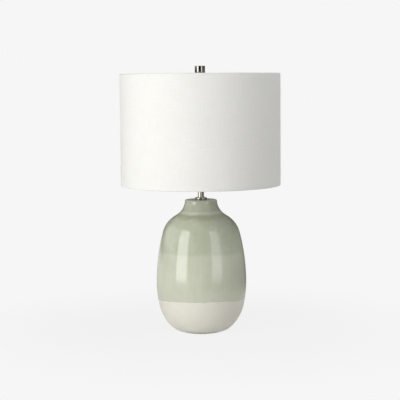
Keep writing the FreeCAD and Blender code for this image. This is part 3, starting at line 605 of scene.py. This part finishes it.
def roll_thread(wall: Iterable[BMVert], start: float, rise: Range,
                fall: Range, pitch: float, depth: float) -> None:
    """Rolls a rounded thread into a thin wall.

    Args:
        wall: The wall's vertices.
        start: Height that the turns are counted from.
        rise: Heights where the thread starts to grow and is full.
        fall: Heights where it has gone and where it starts to shrink.
        pitch: Rise in one turn.
        depth: How far it stands out, or in where negative.
    """
    for vertex in wall:
        x, y, z = vertex.co
        turns = (z - start) / pitch - math.atan2(y, x) / TURN
        fade = smooth_step(z, *rise) * smooth_step(-z, -fall[0], -fall[1])
        wave = 0.5 - 0.5 * math.cos(TURN * turns)
        vertex.co += Vector((x, y, 0.0)).normalized() * (depth * wave * fade)


def raise_all(bm: BMesh, lifts: Iterable[float]) -> None:
    """Moves every vertex along its normal by its own lift."""
    for vertex, lift in zip(bm.verts, lifts):
        vertex.co += vertex.normal * lift


def add_mesh(bm: BMesh, part: BMesh) -> None:
    """Adds a second mesh to a first, as a shell of its own, and frees the second."""
    spare = bpy.data.meshes.new("spare")
    part.to_mesh(spare)
    part.free()
    bm.from_mesh(spare)
    bpy.data.meshes.remove(spare)


def new_object(name: str, bm: BMesh) -> Object:
    """An object in the scene with a smooth-shaded mesh, at the origin.

    Args:
        name: The object's name.
        bm: Its mesh, which is freed.

    Returns:
        The object.
    """
    mesh = bpy.data.meshes.new(name)
    bm.to_mesh(mesh)
    bm.free()
    mesh.shade_smooth()
    mesh.set_sharp_from_angle(angle=CREASE_ANGLE)
    made = bpy.data.objects.new(name, mesh)
    bpy.context.scene.collection.objects.link(made)
    return made


def cut_with(piece: Object, tool: BMesh) -> None:
    """Cuts a closed shape out of a piece's mesh."""
    cutter = new_object("cutter", tool)
    cut = piece.modifiers.new("cut", "BOOLEAN")
    cut.operation = "DIFFERENCE"
    cut.solver = "EXACT"
    cut.object = cutter
    done = bpy.data.meshes.new_from_object(piece.evaluated_get(bpy.context.evaluated_depsgraph_get()))
    piece.modifiers.clear()
    piece.data = done
    bpy.data.objects.remove(cutter)


@dataclass
class SubAssembly(ABC):
    """A group of the lamp's pieces that are made and dressed together."""

    made: list[Object] = field(default_factory=list, init=False)

    def add(self, name: str, bm: BMesh, finish: Finish, body: Body, slot: Slot,
            stands_for: tuple[str, ...] = ()) -> Object:
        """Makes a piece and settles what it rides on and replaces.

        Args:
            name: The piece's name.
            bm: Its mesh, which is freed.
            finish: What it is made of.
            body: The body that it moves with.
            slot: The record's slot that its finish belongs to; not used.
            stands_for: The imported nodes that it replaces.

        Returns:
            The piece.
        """
        piece = new_object(name, bm)
        piece.data.materials.append(self.paint(finish))
        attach(piece, body.value)
        if stands_for:
            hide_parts(*stands_for)
        self.made.append(piece)
        return piece

    def coat(self, finish: Finish, *nodes: str) -> None:
        """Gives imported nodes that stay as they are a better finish."""
        for name in nodes:
            node = frame["nodes"][name]
            node.data.materials.clear()
            node.data.materials.append(self.paint(finish))
            self.made.append(node)

    @staticmethod
    def paint(finish: Finish) -> Material:
        """The finish's material, made once."""
        return bpy.data.materials.get(finish.name) or finish.material()

    @abstractmethod
    def build(self) -> None:
        """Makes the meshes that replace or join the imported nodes."""

    @abstractmethod
    def dress(self) -> None:
        """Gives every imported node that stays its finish."""


# ---------------- jar
@dataclass
class Jar(SubAssembly):
    """The turned stoneware jar, its felt pad and the grommet in its cord hole."""

    @dataclass(frozen=True)
    class Size:
        """Stations of the outer face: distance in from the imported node's side, height above the foot."""

        toe: Range = (0.0391, 0.009)
        haunch: Range = (0.0066, 0.067)
        belly: Range = (0.0008, 0.1245)
        flank: Range = (0.0168, 0.2508)
        crease: Range = (0.05, 0.2945)
        collar_foot: Range = (0.0607, 0.3024)
        lip: Range = (0.0746, 0.3319)
        wall: float = 7 * MM
        top_thickness: float = 8 * MM
        foot_opening: float = 38 * MM
        top_hole: float = 5.3 * MM
        outlet_hole: float = 5.5 * MM
        row: float = 1.9 * MM
        inner_row: float = 9 * MM
        columns: int = 300

    @dataclass(frozen=True)
    class Relief:
        """How far the surface departs from the turned outline, and where the glaze ends."""

        edge_height: float = 0.0815
        edge_tilt: float = 0.009
        edge_waver: float = 1.3 * MM
        run_length: float = 4.5 * MM
        glaze_thickness: float = 0.4 * MM
        bead_thickness: float = 0.3 * MM
        bead_width: float = 1.2 * MM
        throwing_depth: float = 0.07 * MM
        throwing_pitch: float = 5.5 * MM
        wobble: float = 0.14 * MM
        fade: float = 5 * MM

    size: Size = Size()
    relief: Relief = Relief()
    foot: float = field(init=False)
    top: float = field(init=False)
    reach: float = field(init=False)

    def __post_init__(self) -> None:
        """Takes the jar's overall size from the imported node."""
        low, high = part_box("jar_body")
        self.foot = low.z
        self.top = high.z
        self.reach = high.x

    def station(self, place: Range) -> Vector:
        """The (radius, height) of a station."""
        return Vector((self.reach - place[0], self.foot + place[1]))

    def wall(self, pen: Turning, downwards: bool, stations: Iterable[Vector]) -> list[Vector]:
        """Draws the outer face through its stations.

        Args:
            pen: A pen at the belly.
            downwards: Whether the face runs down from there.
            stations: The ends of its arcs.

        Returns:
            The same stations one wall further in.
        """
        side = 1 if downwards else -1
        pen.head(0.0, -side)
        inner = []
        for goal in stations:
            pen.arc(goal.x, goal.y, self.size.row)
            inward = Vector((pen.heading.y, -pen.heading.x)) * side
            inner.append(pen.here + inward * self.size.wall)
        return inner

    def outline(self) -> Turning:
        """The closed section: outer face, foot, hollow and the flat top with its hole."""
        size = self.size
        belly = self.station(size.belly)
        bm = bmesh.new()
        layer = bm.verts.layers.float.new("outer")
        bm.verts.layers.float.new(GLAZE.edge_attribute)
        lower = Turning(belly.x, belly.y, bm)
        inner_low = self.wall(lower, True, [self.station(size.haunch), self.station(size.toe)])
        lower.level_off(self.foot, size.row / 2)
        outer = set(bm.verts)
        lower.line(size.foot_opening, self.foot, size.inner_row)
        floor = self.foot + size.wall
        lower.line(size.foot_opening, floor)
        lower.line(lower.here.x + size.wall, floor).head(1.0, 0.0)
        for goal in reversed(inner_low):
            lower.arc(goal.x, goal.y, size.inner_row)
        lower.arc(belly.x - size.wall, belly.y, size.inner_row)

        lower_half = set(bm.verts)
        upper = Turning(belly.x, belly.y, bm)
        inner_high = self.wall(upper, False, [self.station(p) for p in
                                              (size.flank, size.crease, size.collar_foot, size.lip)])
        upper.level_off(self.top, size.row / 3)
        outer |= set(bm.verts) - lower_half
        ceiling = self.top - size.top_thickness
        upper.line(size.top_hole, self.top, size.inner_row)
        upper.line(size.top_hole, ceiling)
        upper.line(inner_high[-1].x, ceiling, size.inner_row)
        upper.head(0.0, -1.0)
        for goal in reversed(inner_high[:-1]):
            upper.arc(goal.x, goal.y, size.inner_row)
        upper.arc(belly.x - size.wall, belly.y, size.inner_row)
        for vertex in bm.verts:
            vertex[layer] = float(vertex in outer)
        bmesh.ops.remove_doubles(bm, verts=bm.verts, dist=MERGE)
        return upper

    def edge_at(self, x: float, y: float) -> float:
        """The height of the glaze's edge on the side of the jar that faces (x, y), with its runs."""
        relief = self.relief
        facing = Vector((x, y, 0.0)).normalized()
        waver = noise.noise(facing * 1.8 + UP * 3.1) + 0.45 * noise.noise(facing * 6.0 + UP * 8.7)
        run = max(0.0, noise.noise(facing * 11.0 + UP * 1.3) - 0.28)
        level = relief.edge_height - relief.edge_tilt * facing.y
        return level + relief.edge_waver * waver - relief.run_length * run

    def raise_at(self, place: Vector, above: float) -> float:
        """How far the face stands out at a place.

        Args:
            place: The point on the turned outline.
            above: Its height above the glaze's edge.

        Returns:
            The distance along the face's normal.
        """
        relief = self.relief
        rings = math.sin(TURN * place.z / relief.throwing_pitch + 2.5 * noise.noise(place * 14.0))
        low = place * 21.0
        lift = relief.throwing_depth * rings + relief.wobble * noise.noise(low)
        lift -= relief.glaze_thickness * smooth_step(-above, -2 * relief.bead_width, 0.0)
        lift += relief.bead_thickness * math.exp(-((above - relief.bead_width) / relief.bead_width) ** 2)
        fade = smooth_step(place.z, self.foot, self.foot + relief.fade)
        return lift * fade * smooth_step(self.top - place.z, 0.0, relief.fade)

    def sculpt(self, bm: BMesh) -> None:
        """Raises the glaze over the clay and leaves the marks of the potter's wheel."""
        bm.normal_update()
        outer = bm.verts.layers.float["outer"]
        edge = bm.verts.layers.float[GLAZE.edge_attribute]
        lifts = []
        for vertex in bm.verts:
            above = vertex.co.z - self.edge_at(vertex.co.x, vertex.co.y)
            vertex[edge] = above
            lifts.append(vertex[outer] * self.raise_at(vertex.co, above))
        raise_all(bm, lifts)
        bm.verts.layers.float.remove(outer)

    def outlet(self) -> BMesh:
        """The drill for the cord hole, square to the wall at the back, on the grommet's axis."""
        mount = next(m for m in frame["record"]["mounts"] if m["name"] == "cord_inlet")
        axis = Vector(mount["axis"])
        stance = axis.to_track_quat("Z", "X").to_matrix().to_4x4()
        bm = bmesh.new()
        bmesh.ops.create_cone(bm, cap_ends=True, segments=64, radius1=self.size.outlet_hole,
                              radius2=self.size.outlet_hole, depth=6 * self.size.wall,
                              matrix=Matrix.Translation(Vector(mount["pos_m"])) @ stance)
        return bm

    def build(self) -> None:
        """Turns, sculpts and drills the jar."""
        bm = self.outline().spin(self.size.columns)
        self.sculpt(bm)
        jar = self.add("jar", bm, GLAZE, Body.BASE, Slot.GLAZE, ("jar_body",))
        cut_with(jar, self.outlet())

    def dress(self) -> None:
        """Felt under the foot and rubber in the cord hole."""
        self.coat(FELT, "base_pad")
        self.coat(RUBBER, "cord_grommet")


# ---------------- neck
@dataclass
class Neck(SubAssembly):
    """The nickel tube and flange, and the hardware that clamps them to the jar."""

    flange_thickness: float = 5.6 * MM
    flange_step: float = 9.2 * MM
    flange_bore: float = 5.1 * MM
    rim_round: float = 1.6 * MM

    def build(self) -> None:
        """The flange: a disc with a flat rim between rounded edges, and a step that centres the tube."""
        low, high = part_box("neck_flange")
        radius = high.x
        face = low.z + self.flange_thickness
        corner = self.rim_round
        pen = Turning(self.flange_bore, high.z).line(self.flange_bore, low.z)
        pen.line(radius - corner, low.z).head(1.0, 0.0).arc(radius, low.z + corner, corner / 6)
        pen.line(radius, face - corner).head(0.0, 1.0).arc(radius - corner, face, corner / 6)
        pen.line(self.flange_step, face).line(self.flange_step, high.z).line(self.flange_bore, high.z)
        self.add("flange_disc", pen.spin(120), POLISHED, Body.BASE, Slot.POLISHED_NICKEL, ("neck_flange",))

    def dress(self) -> None:
        """Polished nickel where it shows, and zinc and rubber inside the jar."""
        self.coat(POLISHED, "neck_tube", "check_ring")
        self.coat(ZINC, "neck_washer", "neck_nut", "threaded_nipple")
        self.coat(RUBBER, "neck_gasket")


# ---------------- harp
@dataclass
class Harp(SubAssembly):
    """Saddle, bow, ferrules and the swivelling stud, whose post is threaded."""

    thread_pitch: float = 0.94 * MM
    thread_depth: float = 0.5 * MM
    post_radius: float = 3.15 * MM
    shank_radius: float = 2.2 * MM
    rivet_radius: float = 3.6 * MM
    rivet_thickness: float = 1.5 * MM
    disc_thickness: float = 1.7 * MM
    edge: float = 0.35 * MM
    plain_foot: float = 1.2 * MM

    def build(self) -> None:
        """The stud: a domed rivet, the disc that the shade sits on and the threaded post."""
        low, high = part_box("harp_stud")
        disc_radius = high.x
        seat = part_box("spider_hub")[0].z
        rivet_top = low.z + self.rivet_thickness
        disc_low = seat - self.disc_thickness
        edge = self.edge
        pen = Turning(0.0, low.z).line(self.rivet_radius - 2 * edge, low.z).head(1.0, 0.0)
        pen.arc(self.rivet_radius, low.z + 2 * edge, edge / 3)
        pen.line(self.rivet_radius, rivet_top).line(self.shank_radius, rivet_top)
        pen.line(self.shank_radius, disc_low).line(disc_radius - edge, disc_low).head(1.0, 0.0)
        pen.arc(disc_radius, disc_low + edge, edge / 3).line(disc_radius, seat - edge).head(0.0, 1.0)
        pen.arc(disc_radius - edge, seat, edge / 3)
        root = self.post_radius - self.thread_depth
        pen.line(root, seat).line(root, seat + 2 * self.plain_foot).line(0.0, seat + 2 * self.plain_foot)
        bm = pen.spin(72)
        post = helix(self.post_radius, root, seat + self.plain_foot, high.z, self.thread_pitch)
        add_mesh(bm, post)
        self.add("threaded_stud", bm, SATIN, Body.SWIVEL, Slot.SATIN_NICKEL, ("harp_stud",))

    def dress(self) -> None:
        """Satin nickel over bent wire and strip."""
        self.coat(SATIN, "harp_saddle", "harp_bow", "harp_sleeve_left", "harp_sleeve_right")


# ---------------- lampholder and switch
@dataclass
class Lampholder(SubAssembly):
    """The keyed lampholder, with a rolled thread in its cup."""

    thread_pitch: float = 3.6 * MM
    thread_depth: float = 0.4 * MM
    sheet: float = 0.4 * MM
    floor_hole: float = 6 * MM
    plain_foot: float = 2 * MM
    plain_top: float = 1.5 * MM
    columns: int = 96

    def build(self) -> None:
        """The brass cup: a floor with a hole and a threaded wall."""
        low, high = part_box("screw_shell")
        wall = high.x - self.sheet / 2
        pen = Turning(self.floor_hole, low.z + self.sheet / 2)
        pen.line(wall - self.sheet, low.z + self.sheet / 2, 2 * MM).head(1.0, 0.0)
        pen.arc(wall, low.z + 1.5 * self.sheet, self.sheet / 2)
        pen.line(wall, high.z, 0.4 * MM)
        revolve(pen.bm, TURN, self.columns, use_merge=True)
        bm = tidy(pen.bm)
        start = low.z + self.plain_foot
        roll_thread(bm.verts, start + self.thread_pitch / 2, (start, start + self.plain_foot),
                    (high.z, high.z - self.plain_top), self.thread_pitch, -self.thread_depth)
        cup = self.add("threaded_cup", bm, BRASS, Body.BASE, Slot.BRASS, ("screw_shell",))
        thicken(cup, self.sheet)

    def dress(self) -> None:
        """Plated sheet outside, card and phenolic inside."""
        self.coat(SHELL, "holder_cap", "holder_shell")
        self.coat(ZINC, "holder_set_screw")
        self.coat(CARD, "holder_insulator")
        self.coat(PHENOLIC, "holder_core", "switch_cam", "switch_knob")
        self.coat(BRASS, "terminal_screws", "centre_contact", "switch_shaft")


# ---------------- bulb
@dataclass
class Bulb(SubAssembly):
    """The frosted bulb and its screw cap."""

    thread_pitch: float = 3.6 * MM
    thread_depth: float = 0.75 * MM
    plain_top: float = 4.5 * MM
    plain_foot: float = 2.0 * MM
    edge: float = 1.2 * MM
    tolerance: float = 0.05 * MM

    def build(self) -> None:
        """The cap: a plain collar, a rolled thread and a drawn-in foot, as one thin cup."""
        low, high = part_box("bulb_cap")
        radius = high.x
        inner = radius - self.thread_depth
        pen = Turning(inner - self.edge, low.z).head(1.0, 0.0)
        pen.arc(inner, low.z + self.edge, 0.3 * MM)
        pen.line(inner, low.z + self.plain_foot)
        pen.line(inner, high.z - self.plain_top, 0.36 * MM).head(0.0, 1.0)
        pen.arc(radius, high.z - self.plain_top + self.edge, 0.3 * MM)
        pen.line(radius, high.z, 1.5 * MM)
        pen.line(radius - 0.4 * MM, high.z).line(0.0, high.z - 0.4 * MM)
        pen.line(0.0, low.z + 0.2 * MM).line(inner - self.edge, low.z)
        bm = pen.spin(96)
        top = high.z - self.plain_top
        wall = [v for v in bm.verts if math.hypot(v.co.x, v.co.y) >= inner - self.tolerance and v.co.z <= top]
        roll_thread(wall, low.z, (low.z + self.edge, low.z + 2 * self.plain_foot),
                    (top, top - self.edge), self.thread_pitch, self.thread_depth)
        bmesh.ops.recalc_face_normals(bm, faces=bm.faces)
        self.add("threaded_bulb_cap", bm, ALUMINIUM, Body.BULB, Slot.BULB_CAP_METAL, ("bulb_cap",))

    def dress(self) -> None:
        """Frosted envelope, and clear and black glass with solder and tungsten."""
        self.coat(FROSTED, "bulb_glass")
        self.coat(BLACK_GLASS, "bulb_insulator")
        self.coat(SOLDER, "bulb_tip")
        self.coat(CLEAR, "bulb_stem")
        self.coat(TUNGSTEN, "bulb_filament")


# ---------------- shade
@dataclass
class Shade(SubAssembly):
    """The cloth drum on its wire rings and spider."""

    cloth: float = 0.6 * MM
    liner: float = 0.5 * MM
    wire: float = 1.6 * MM
    hem_turn: float = math.radians(215)
    hem_flap: float = 7 * MM
    columns: int = 360
    seam_angle: float = math.radians(93.5)
    lap_columns: int = 4
    ramp_columns: int = 2
    arm_angles: tuple[float, ...] = (90.0, 210.0, 330.0)
    drape: float = 0.12 * MM
    row: float = 11 * MM
    hem_row: float = 0.7 * MM
    tape_width: float = math.radians(3.2)
    weld_radius: float = 0.9 * MM
    weld_reach: float = 13.2 * MM
    weld_side: float = 1.5 * MM
    weld_lift: float = 0.1 * MM
    radius: float = field(init=False)
    low: float = field(init=False)
    high: float = field(init=False)
    inner_radius: float = field(init=False)
    ring_radius: float = field(init=False)
    hem_radius: float = field(init=False)

    def __post_init__(self) -> None:
        """Takes the drum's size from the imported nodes."""
        low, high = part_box("shade_fabric")
        self.radius = high.x
        self.low = low.z
        self.high = high.z
        self.inner_radius = self.radius - self.cloth - self.liner
        self.ring_radius = self.inner_radius - self.wire
        self.hem_radius = self.radius - self.ring_radius

    def hem(self, pen: Turning, sign: int) -> None:
        """Draws the cloth over one ring, back under it and down its flap.

        Args:
            pen: A pen on the drum's outer face, level with the ring.
            sign: 1 at the top ring and -1 at the bottom one.
        """
        ring_z = self.high - self.hem_radius if sign > 0 else self.low + self.hem_radius
        pen.head(0.0, sign).swing(Vector((self.ring_radius, ring_z)), sign * self.hem_turn, self.hem_row)
        bisector = (pen.heading - Vector((0.0, sign))).normalized()
        goal = pen.here + bisector * ((self.inner_radius - self.cloth / 2 - pen.here.x) / bisector.x)
        pen.arc(goal.x, goal.y, self.hem_row)
        pen.line(goal.x, goal.y - sign * self.hem_flap, 1.8 * MM)

    def cloth_path(self) -> tuple[BMesh, list[float]]:
        """The cloth's middle line from flap to flap.

        Returns:
            The line, and each vertex's distance along the cloth from its middle height.
        """
        middle = self.radius - self.cloth / 2
        centre_z = (self.low + self.high) / 2
        bm = bmesh.new()
        distance = bm.verts.layers.float.new("distance")
        for sign, ring_z in ((1, self.high - self.hem_radius), (-1, self.low + self.hem_radius)):
            drawn = len(bm.verts)
            pen = Turning(middle, centre_z, bm)
            pen.line(middle, ring_z, self.row)
            self.hem(pen, sign)
            bm.verts.ensure_lookup_table()
            bm.verts[drawn][distance] = 0.0
            for before, vertex in itertools.pairwise(bm.verts[drawn:]):
                vertex[distance] = before[distance] + sign * (vertex.co - before.co).length
        bmesh.ops.remove_doubles(bm, verts=bm.verts, dist=MERGE)
        along = [vertex[distance] for vertex in bm.verts]
        bm.verts.layers.float.remove(distance)
        return bm, along

    def cloth_drum(self) -> BMesh:
        """The cloth wrapped once round and lapped over its own start, slit where the arms pass."""
        bm, along = self.cloth_path()
        count = len(bm.verts)
        bm.transform(Matrix.Rotation(self.seam_angle, 4, "Z"))
        step = TURN / self.columns
        steps = self.columns + self.lap_columns
        revolve(bm, step * steps, steps)
        bmesh.ops.recalc_face_normals(bm, faces=bm.faces)
        bm.verts.index_update()
        uv = bm.loops.layers.uv.new(LINEN.uv_map)
        for face in bm.faces:
            for loop in face.loops:
                column, place = divmod(loop.vert.index, count)
                loop[uv].uv = (column * step * self.radius, along[place])
        bm.normal_update()
        bm.verts.ensure_lookup_table()
        outward = math.copysign(1.0, bm.verts[0].normal.dot(bm.verts[0].co))
        lifts = []
        for vertex in bm.verts:
            column = vertex.index // count
            lap = smooth_step(column, self.columns - self.ramp_columns, self.columns)
            lifts.append(outward * (self.cloth * lap + self.drape * noise.noise(vertex.co * 17.0)))
        raise_all(bm, lifts)
        self.slit(bm)
        return bm

    def slit(self, bm: BMesh) -> None:
        """Cuts the hem away where each arm leaves the top ring."""
        inside = self.ring_radius + self.wire / 2
        gone = []
        for face in bm.faces:
            middle = face.calc_center_median()
            if middle.z < self.high - 6 * self.hem_radius or math.hypot(middle.x, middle.y) > inside:
                continue
            bearing = math.degrees(math.atan2(middle.y, middle.x)) % 360
            if any(abs(bearing - angle) < 180 / self.columns + 0.1 for angle in self.arm_angles):
                gone.append(face)
        bmesh.ops.delete(bm, geom=gone, context="FACES")

    def lap_tape(self) -> BMesh:
        """The strip that joins the backing sheet's ends, on its inner face at the seam."""
        pen = Turning(self.inner_radius - self.liner / 2, self.low + 5 * self.hem_radius)
        pen.line(pen.here.x, self.high - 5 * self.hem_radius, 20 * MM)
        bm = pen.bm
        bm.transform(Matrix.Rotation(self.seam_angle + self.tape_width / 4, 4, "Z"))
        revolve(bm, self.tape_width, 4)
        bmesh.ops.recalc_face_normals(bm, faces=bm.faces)
        return bm

    def welds(self) -> BMesh:
        """The bead of weld on each side of every arm's end, where it lies on the hub."""
        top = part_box("spider_hub")[1].z
        bm = bmesh.new()
        for angle in self.arm_angles:
            turn = Matrix.Rotation(math.radians(angle), 4, "Z")
            for side in (-1, 1):
                spot = Matrix.Translation((self.weld_reach, side * self.weld_side, top + self.weld_lift))
                flat = Matrix.Diagonal((2.2, 0.8, 0.7, 1.0))
                bmesh.ops.create_icosphere(bm, subdivisions=3, radius=self.weld_radius,
                                           matrix=turn @ spot @ flat)
        return bm

    def build(self) -> None:
        """The cloth, the backing's joining strip and the hub's welds."""
        cloth = self.add("shade_cloth", self.cloth_drum(), LINEN, Body.SHADE, Slot.SHADE_LINEN,
                         ("shade_fabric",))
        thicken(cloth, self.cloth)
        tape = self.add("backing_lap", self.lap_tape(), STYRENE, Body.SHADE, Slot.SHADE_BACKING)
        thicken(tape, self.liner)
        self.add("hub_welds", self.welds(), ENAMEL, Body.SHADE, Slot.WHITE_WIRE)

    def dress(self) -> None:
        """White backing sheet and enamelled wire."""
        self.coat(STYRENE, "shade_liner")
        self.coat(ENAMEL, "shade_top_ring", "shade_bottom_ring", "spider_hub",
                  "spider_arm_1", "spider_arm_2", "spider_arm_3")


# ---------------- finial
@dataclass
class Finial(SubAssembly):
    """The nickel cylinder that screws down on the shade."""

    radius: float = 13 * MM
    edge: float = 0.55 * MM
    foot_radius: float = 9 * MM
    foot_height: float = 5 * MM
    socket_radius: float = 5.5 * MM
    socket_depth: float = 14 * MM

    def build(self) -> None:
        """A turned body with broken edges, a narrower foot and a socket for its insert."""
        low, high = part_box("finial_body")
        radius = self.radius
        edge = self.edge
        shoulder = low.z + self.foot_height
        pen = Turning(0.0, low.z + self.socket_depth).line(self.socket_radius, low.z + self.socket_depth)
        pen.line(self.socket_radius, low.z).line(self.foot_radius - edge / 2, low.z).head(1.0, 0.0)
        pen.arc(self.foot_radius, low.z + edge / 2, edge / 6)
        pen.line(self.foot_radius, shoulder).line(radius - edge, shoulder).head(1.0, 0.0)
        pen.arc(radius, shoulder + edge, edge / 4).line(radius, high.z - edge).head(0.0, 1.0)
        pen.arc(radius - edge, high.z, edge / 4).line(0.0, high.z, 3 * MM)
        self.add("finial_cylinder", pen.spin(160), POLISHED, Body.FINIAL, Slot.POLISHED_NICKEL,
                 ("finial_body",))

    def dress(self) -> None:
        """Bare brass in the socket."""
        self.coat(BRASS, "finial_insert")


# ---------------- studio
@dataclass(frozen=True)
class Lamp:
    """A rectangular lamp that points at the jar.

    Bearings are degrees to the right of the camera's side of the object, and distances are metres.
    """

    name: str
    bearing: float
    distance: float
    height: float
    width: float
    tall: float
    radiance: float
    aim: float
    mirrored: bool
    lights: bool

    def hang(self) -> None:
        """Puts the lamp up; only surfaces and mirrors see it, never the camera."""
        data = bpy.data.lights.new(self.name, "AREA")
        data.shape = "RECTANGLE"
        data.size = self.width
        data.size_y = self.tall
        data.energy = self.radiance * math.pi * self.width * self.tall
        lamp = bpy.data.objects.new(self.name, data)
        turn = math.radians(self.bearing)
        lamp.location = (self.distance * math.sin(turn), -self.distance * math.cos(turn), self.height)
        to_jar = Vector((0.0, 0.0, self.aim)) - lamp.location
        lamp.rotation_mode = "QUATERNION"
        lamp.rotation_quaternion = to_jar.to_track_quat("-Z", "Y")
        lamp.visible_camera = False
        lamp.visible_glossy = self.mirrored
        lamp.visible_diffuse = self.lights
        bpy.context.scene.collection.objects.link(lamp)


@dataclass
class Studio:
    """Camera, lamps, floor and surroundings."""

    eye: tuple[float, float, float] = (0.0, -3.1577, 0.6289)
    look_down: float = math.radians(5.3)
    roll: float = -0.0075
    lens: float = 111.83
    shift: float = -0.0022
    backdrop: Colour = (246, 246, 246)
    ambient: float = 0.36
    floor_radius: float = 6.0
    shadow_reach: Range = (0.2, 0.8)
    shadow_share: float = 0.1
    paper: Colour = (238, 238, 238)
    # painted reflection: the glow that mirrors see on the floor, near the lamp and far off to the left and
    # right
    mirrored_near: Colour = (215, 215, 212)
    mirrored_left: Colour = (225, 225, 222)
    mirrored_right: Colour = (60, 60, 58)
    mirrored_turn: Range = (-0.6, 0.2)
    mirrored_reach: Range = (0.3, 0.9)
    raised_from: Range = (0.01, 0.12)
    overhead_from: Range = (0.55, 0.85)
    overhead_share: float = 0.25
    room_level: tuple[Stop, ...] = (
        (0.0, (120, 120, 118)), (0.07, (60, 60, 58)), (0.2, (90, 90, 86)), (0.33, (80, 80, 78)),
        (0.4, (25, 25, 23)), (0.52, (25, 25, 23)), (0.58, (95, 95, 93)), (0.7, (115, 115, 113)),
        (0.86, (130, 130, 128)), (0.94, (90, 90, 88)), (1.0, (120, 120, 118)),
    )
    room_raised: tuple[Stop, ...] = (
        (0.0, (120, 120, 118)), (0.08, (60, 60, 58)), (0.11, (90, 90, 88)), (0.15, WHITE), (0.26, WHITE),
        (0.33, (100, 100, 98)), (0.46, (30, 30, 28)), (0.53, (30, 30, 28)), (0.66, (90, 90, 90)),
        (0.86, (100, 100, 100)), (0.92, (60, 60, 58)), (1.0, (120, 120, 118)),
    )
    lamps: tuple[Lamp, ...] = (
        Lamp("key", -40, 2.2, 0.8, 1.5, 1.5, 4.3, 0.35, False, True),
        Lamp("reflector", 80, 1.6, 1.9, 1.7, 0.9, 2.45, 0.45, False, True),
        Lamp("strip_left", -49.1, 0.8, 0.5, 0.4, 0.84, 2.9, 0.5, True, False),
        Lamp("strip_right", 38.6, 0.8, 0.5, 0.36, 0.84, 1.42, 0.5, True, False),
    )

    def camera(self) -> None:
        """The camera, level with the shade's lower edge and tipped a little down."""
        data = bpy.data.cameras.new("camera")
        data.lens = self.lens
        data.shift_x = self.shift
        data.clip_end = 50.0
        camera = bpy.data.objects.new("camera", data)
        tip = Matrix.Rotation(math.pi / 2 - self.look_down, 4, "X") @ Matrix.Rotation(self.roll, 4, "Z")
        camera.matrix_world = Matrix.Translation(Vector(self.eye)) @ tip
        bpy.context.scene.collection.objects.link(camera)
        bpy.context.scene.camera = camera

    def surroundings(self) -> None:
        """A pale backdrop for the camera, a dim room with a pale end in mirrors, and even light."""
        graph = Graph(bpy.data.worlds.new("studio"))
        bpy.context.scene.world = graph.owner
        graph.tree.nodes.clear()
        where = graph.node("SeparateXYZ", {0: graph.node("TexCoord").outputs["Generated"]})
        away = graph.maths("MULTIPLY", where.outputs["Y"], -1.0)
        bearing = graph.maths("ARCTAN2", where.outputs["X"], away)
        share = graph.maths("MULTIPLY_ADD", bearing, 1 / TURN, 0.5)
        raised = graph.ramp_value(where.outputs["Z"], *self.raised_from, 0.0, 1.0)
        room = graph.mix(raised, graph.ramp(share, self.room_level), graph.ramp(share, self.room_raised))
        overhead = graph.ramp_value(where.outputs["Z"], *self.overhead_from, 0.0, self.overhead_share)
        room = graph.mix(overhead, room, self.backdrop)
        ray = graph.node("LightPath")
        mirror = graph.node("Background", {"Color": room})
        pale = graph.node("Background", {"Color": self.backdrop})
        soft = graph.node("Background", {"Color": WHITE, "Strength": self.ambient})
        lit = graph.blend(ray.outputs["Is Glossy Ray"], soft, mirror)
        whole = graph.blend(graph.seen(ray), lit, pale)
        graph.node("OutputWorld", {"Surface": whole.outputs[0]})

    def floor(self) -> None:
        """A round pale floor that keeps a soft shadow near the lamp and fades into the backdrop; in mirrors
        it shows a painted reflection.
        """
        bm = bmesh.new()
        bmesh.ops.create_circle(bm, cap_ends=True, segments=96, radius=self.floor_radius)
        floor = new_object("floor", bm)
        graph = Graph(bpy.data.materials.new("floor_paper"))
        for name, value in (("Base Color", self.paper), ("Roughness", 1.0), ("Specular IOR Level", 0.0)):
            graph.feed(graph.shader.inputs[name], value)
        length = graph.node("VectorMath", {0: graph.node("TexCoord").outputs["Object"]}, operation="LENGTH")
        away = length.outputs["Value"]
        glow = graph.node("Emission", {"Color": self.backdrop})
        keep = graph.ramp_value(away, *self.shadow_reach, self.shadow_share, 0.0)
        pale = graph.blend(keep, glow, graph.shader)
        # painted reflection: mirrors see the floor glow pale near the lamp and, far off, pale to the left and
        # dark to the right
        right = graph.ramp_value(graph.along("X"), *self.mirrored_turn, 0.0, 1.0)
        far = graph.mix(right, self.mirrored_left, self.mirrored_right)
        dim = graph.mix(graph.ramp_value(away, *self.mirrored_reach, 0.0, 1.0), self.mirrored_near, far)
        mirrored = graph.node("Emission", {"Color": dim})
        ray = graph.node("LightPath")
        shown = graph.blend(graph.seen(ray), graph.shader, pale)
        whole = graph.blend(ray.outputs["Is Glossy Ray"], shown, mirrored)
        output = next(n for n in graph.tree.nodes if n.type == "OUTPUT_MATERIAL")
        graph.feed(output.inputs["Surface"], whole.outputs[0])
        floor.data.materials.append(graph.owner)

    def set_up(self) -> None:
        """Makes the whole studio."""
        self.camera()
        self.surroundings()
        self.floor()
        for lamp in self.lamps:
            lamp.hang()
        bpy.context.scene.view_settings.view_transform = "Standard"


def main() -> None:
    """Builds and dresses each sub-assembly, lights it and reports every piece."""
    logging.basicConfig(level=logging.INFO, format="%(message)s")
    Studio().set_up()
    for kind in (Jar, Neck, Harp, Lampholder, Bulb, Shade, Finial):
        assembly = kind()
        assembly.build()
        assembly.dress()
        for piece in assembly.made:
            LOG.info("%s: %s, %d faces", kind.__name__, piece.name, len(piece.data.polygons))


if __name__ == "__main__":
    main()
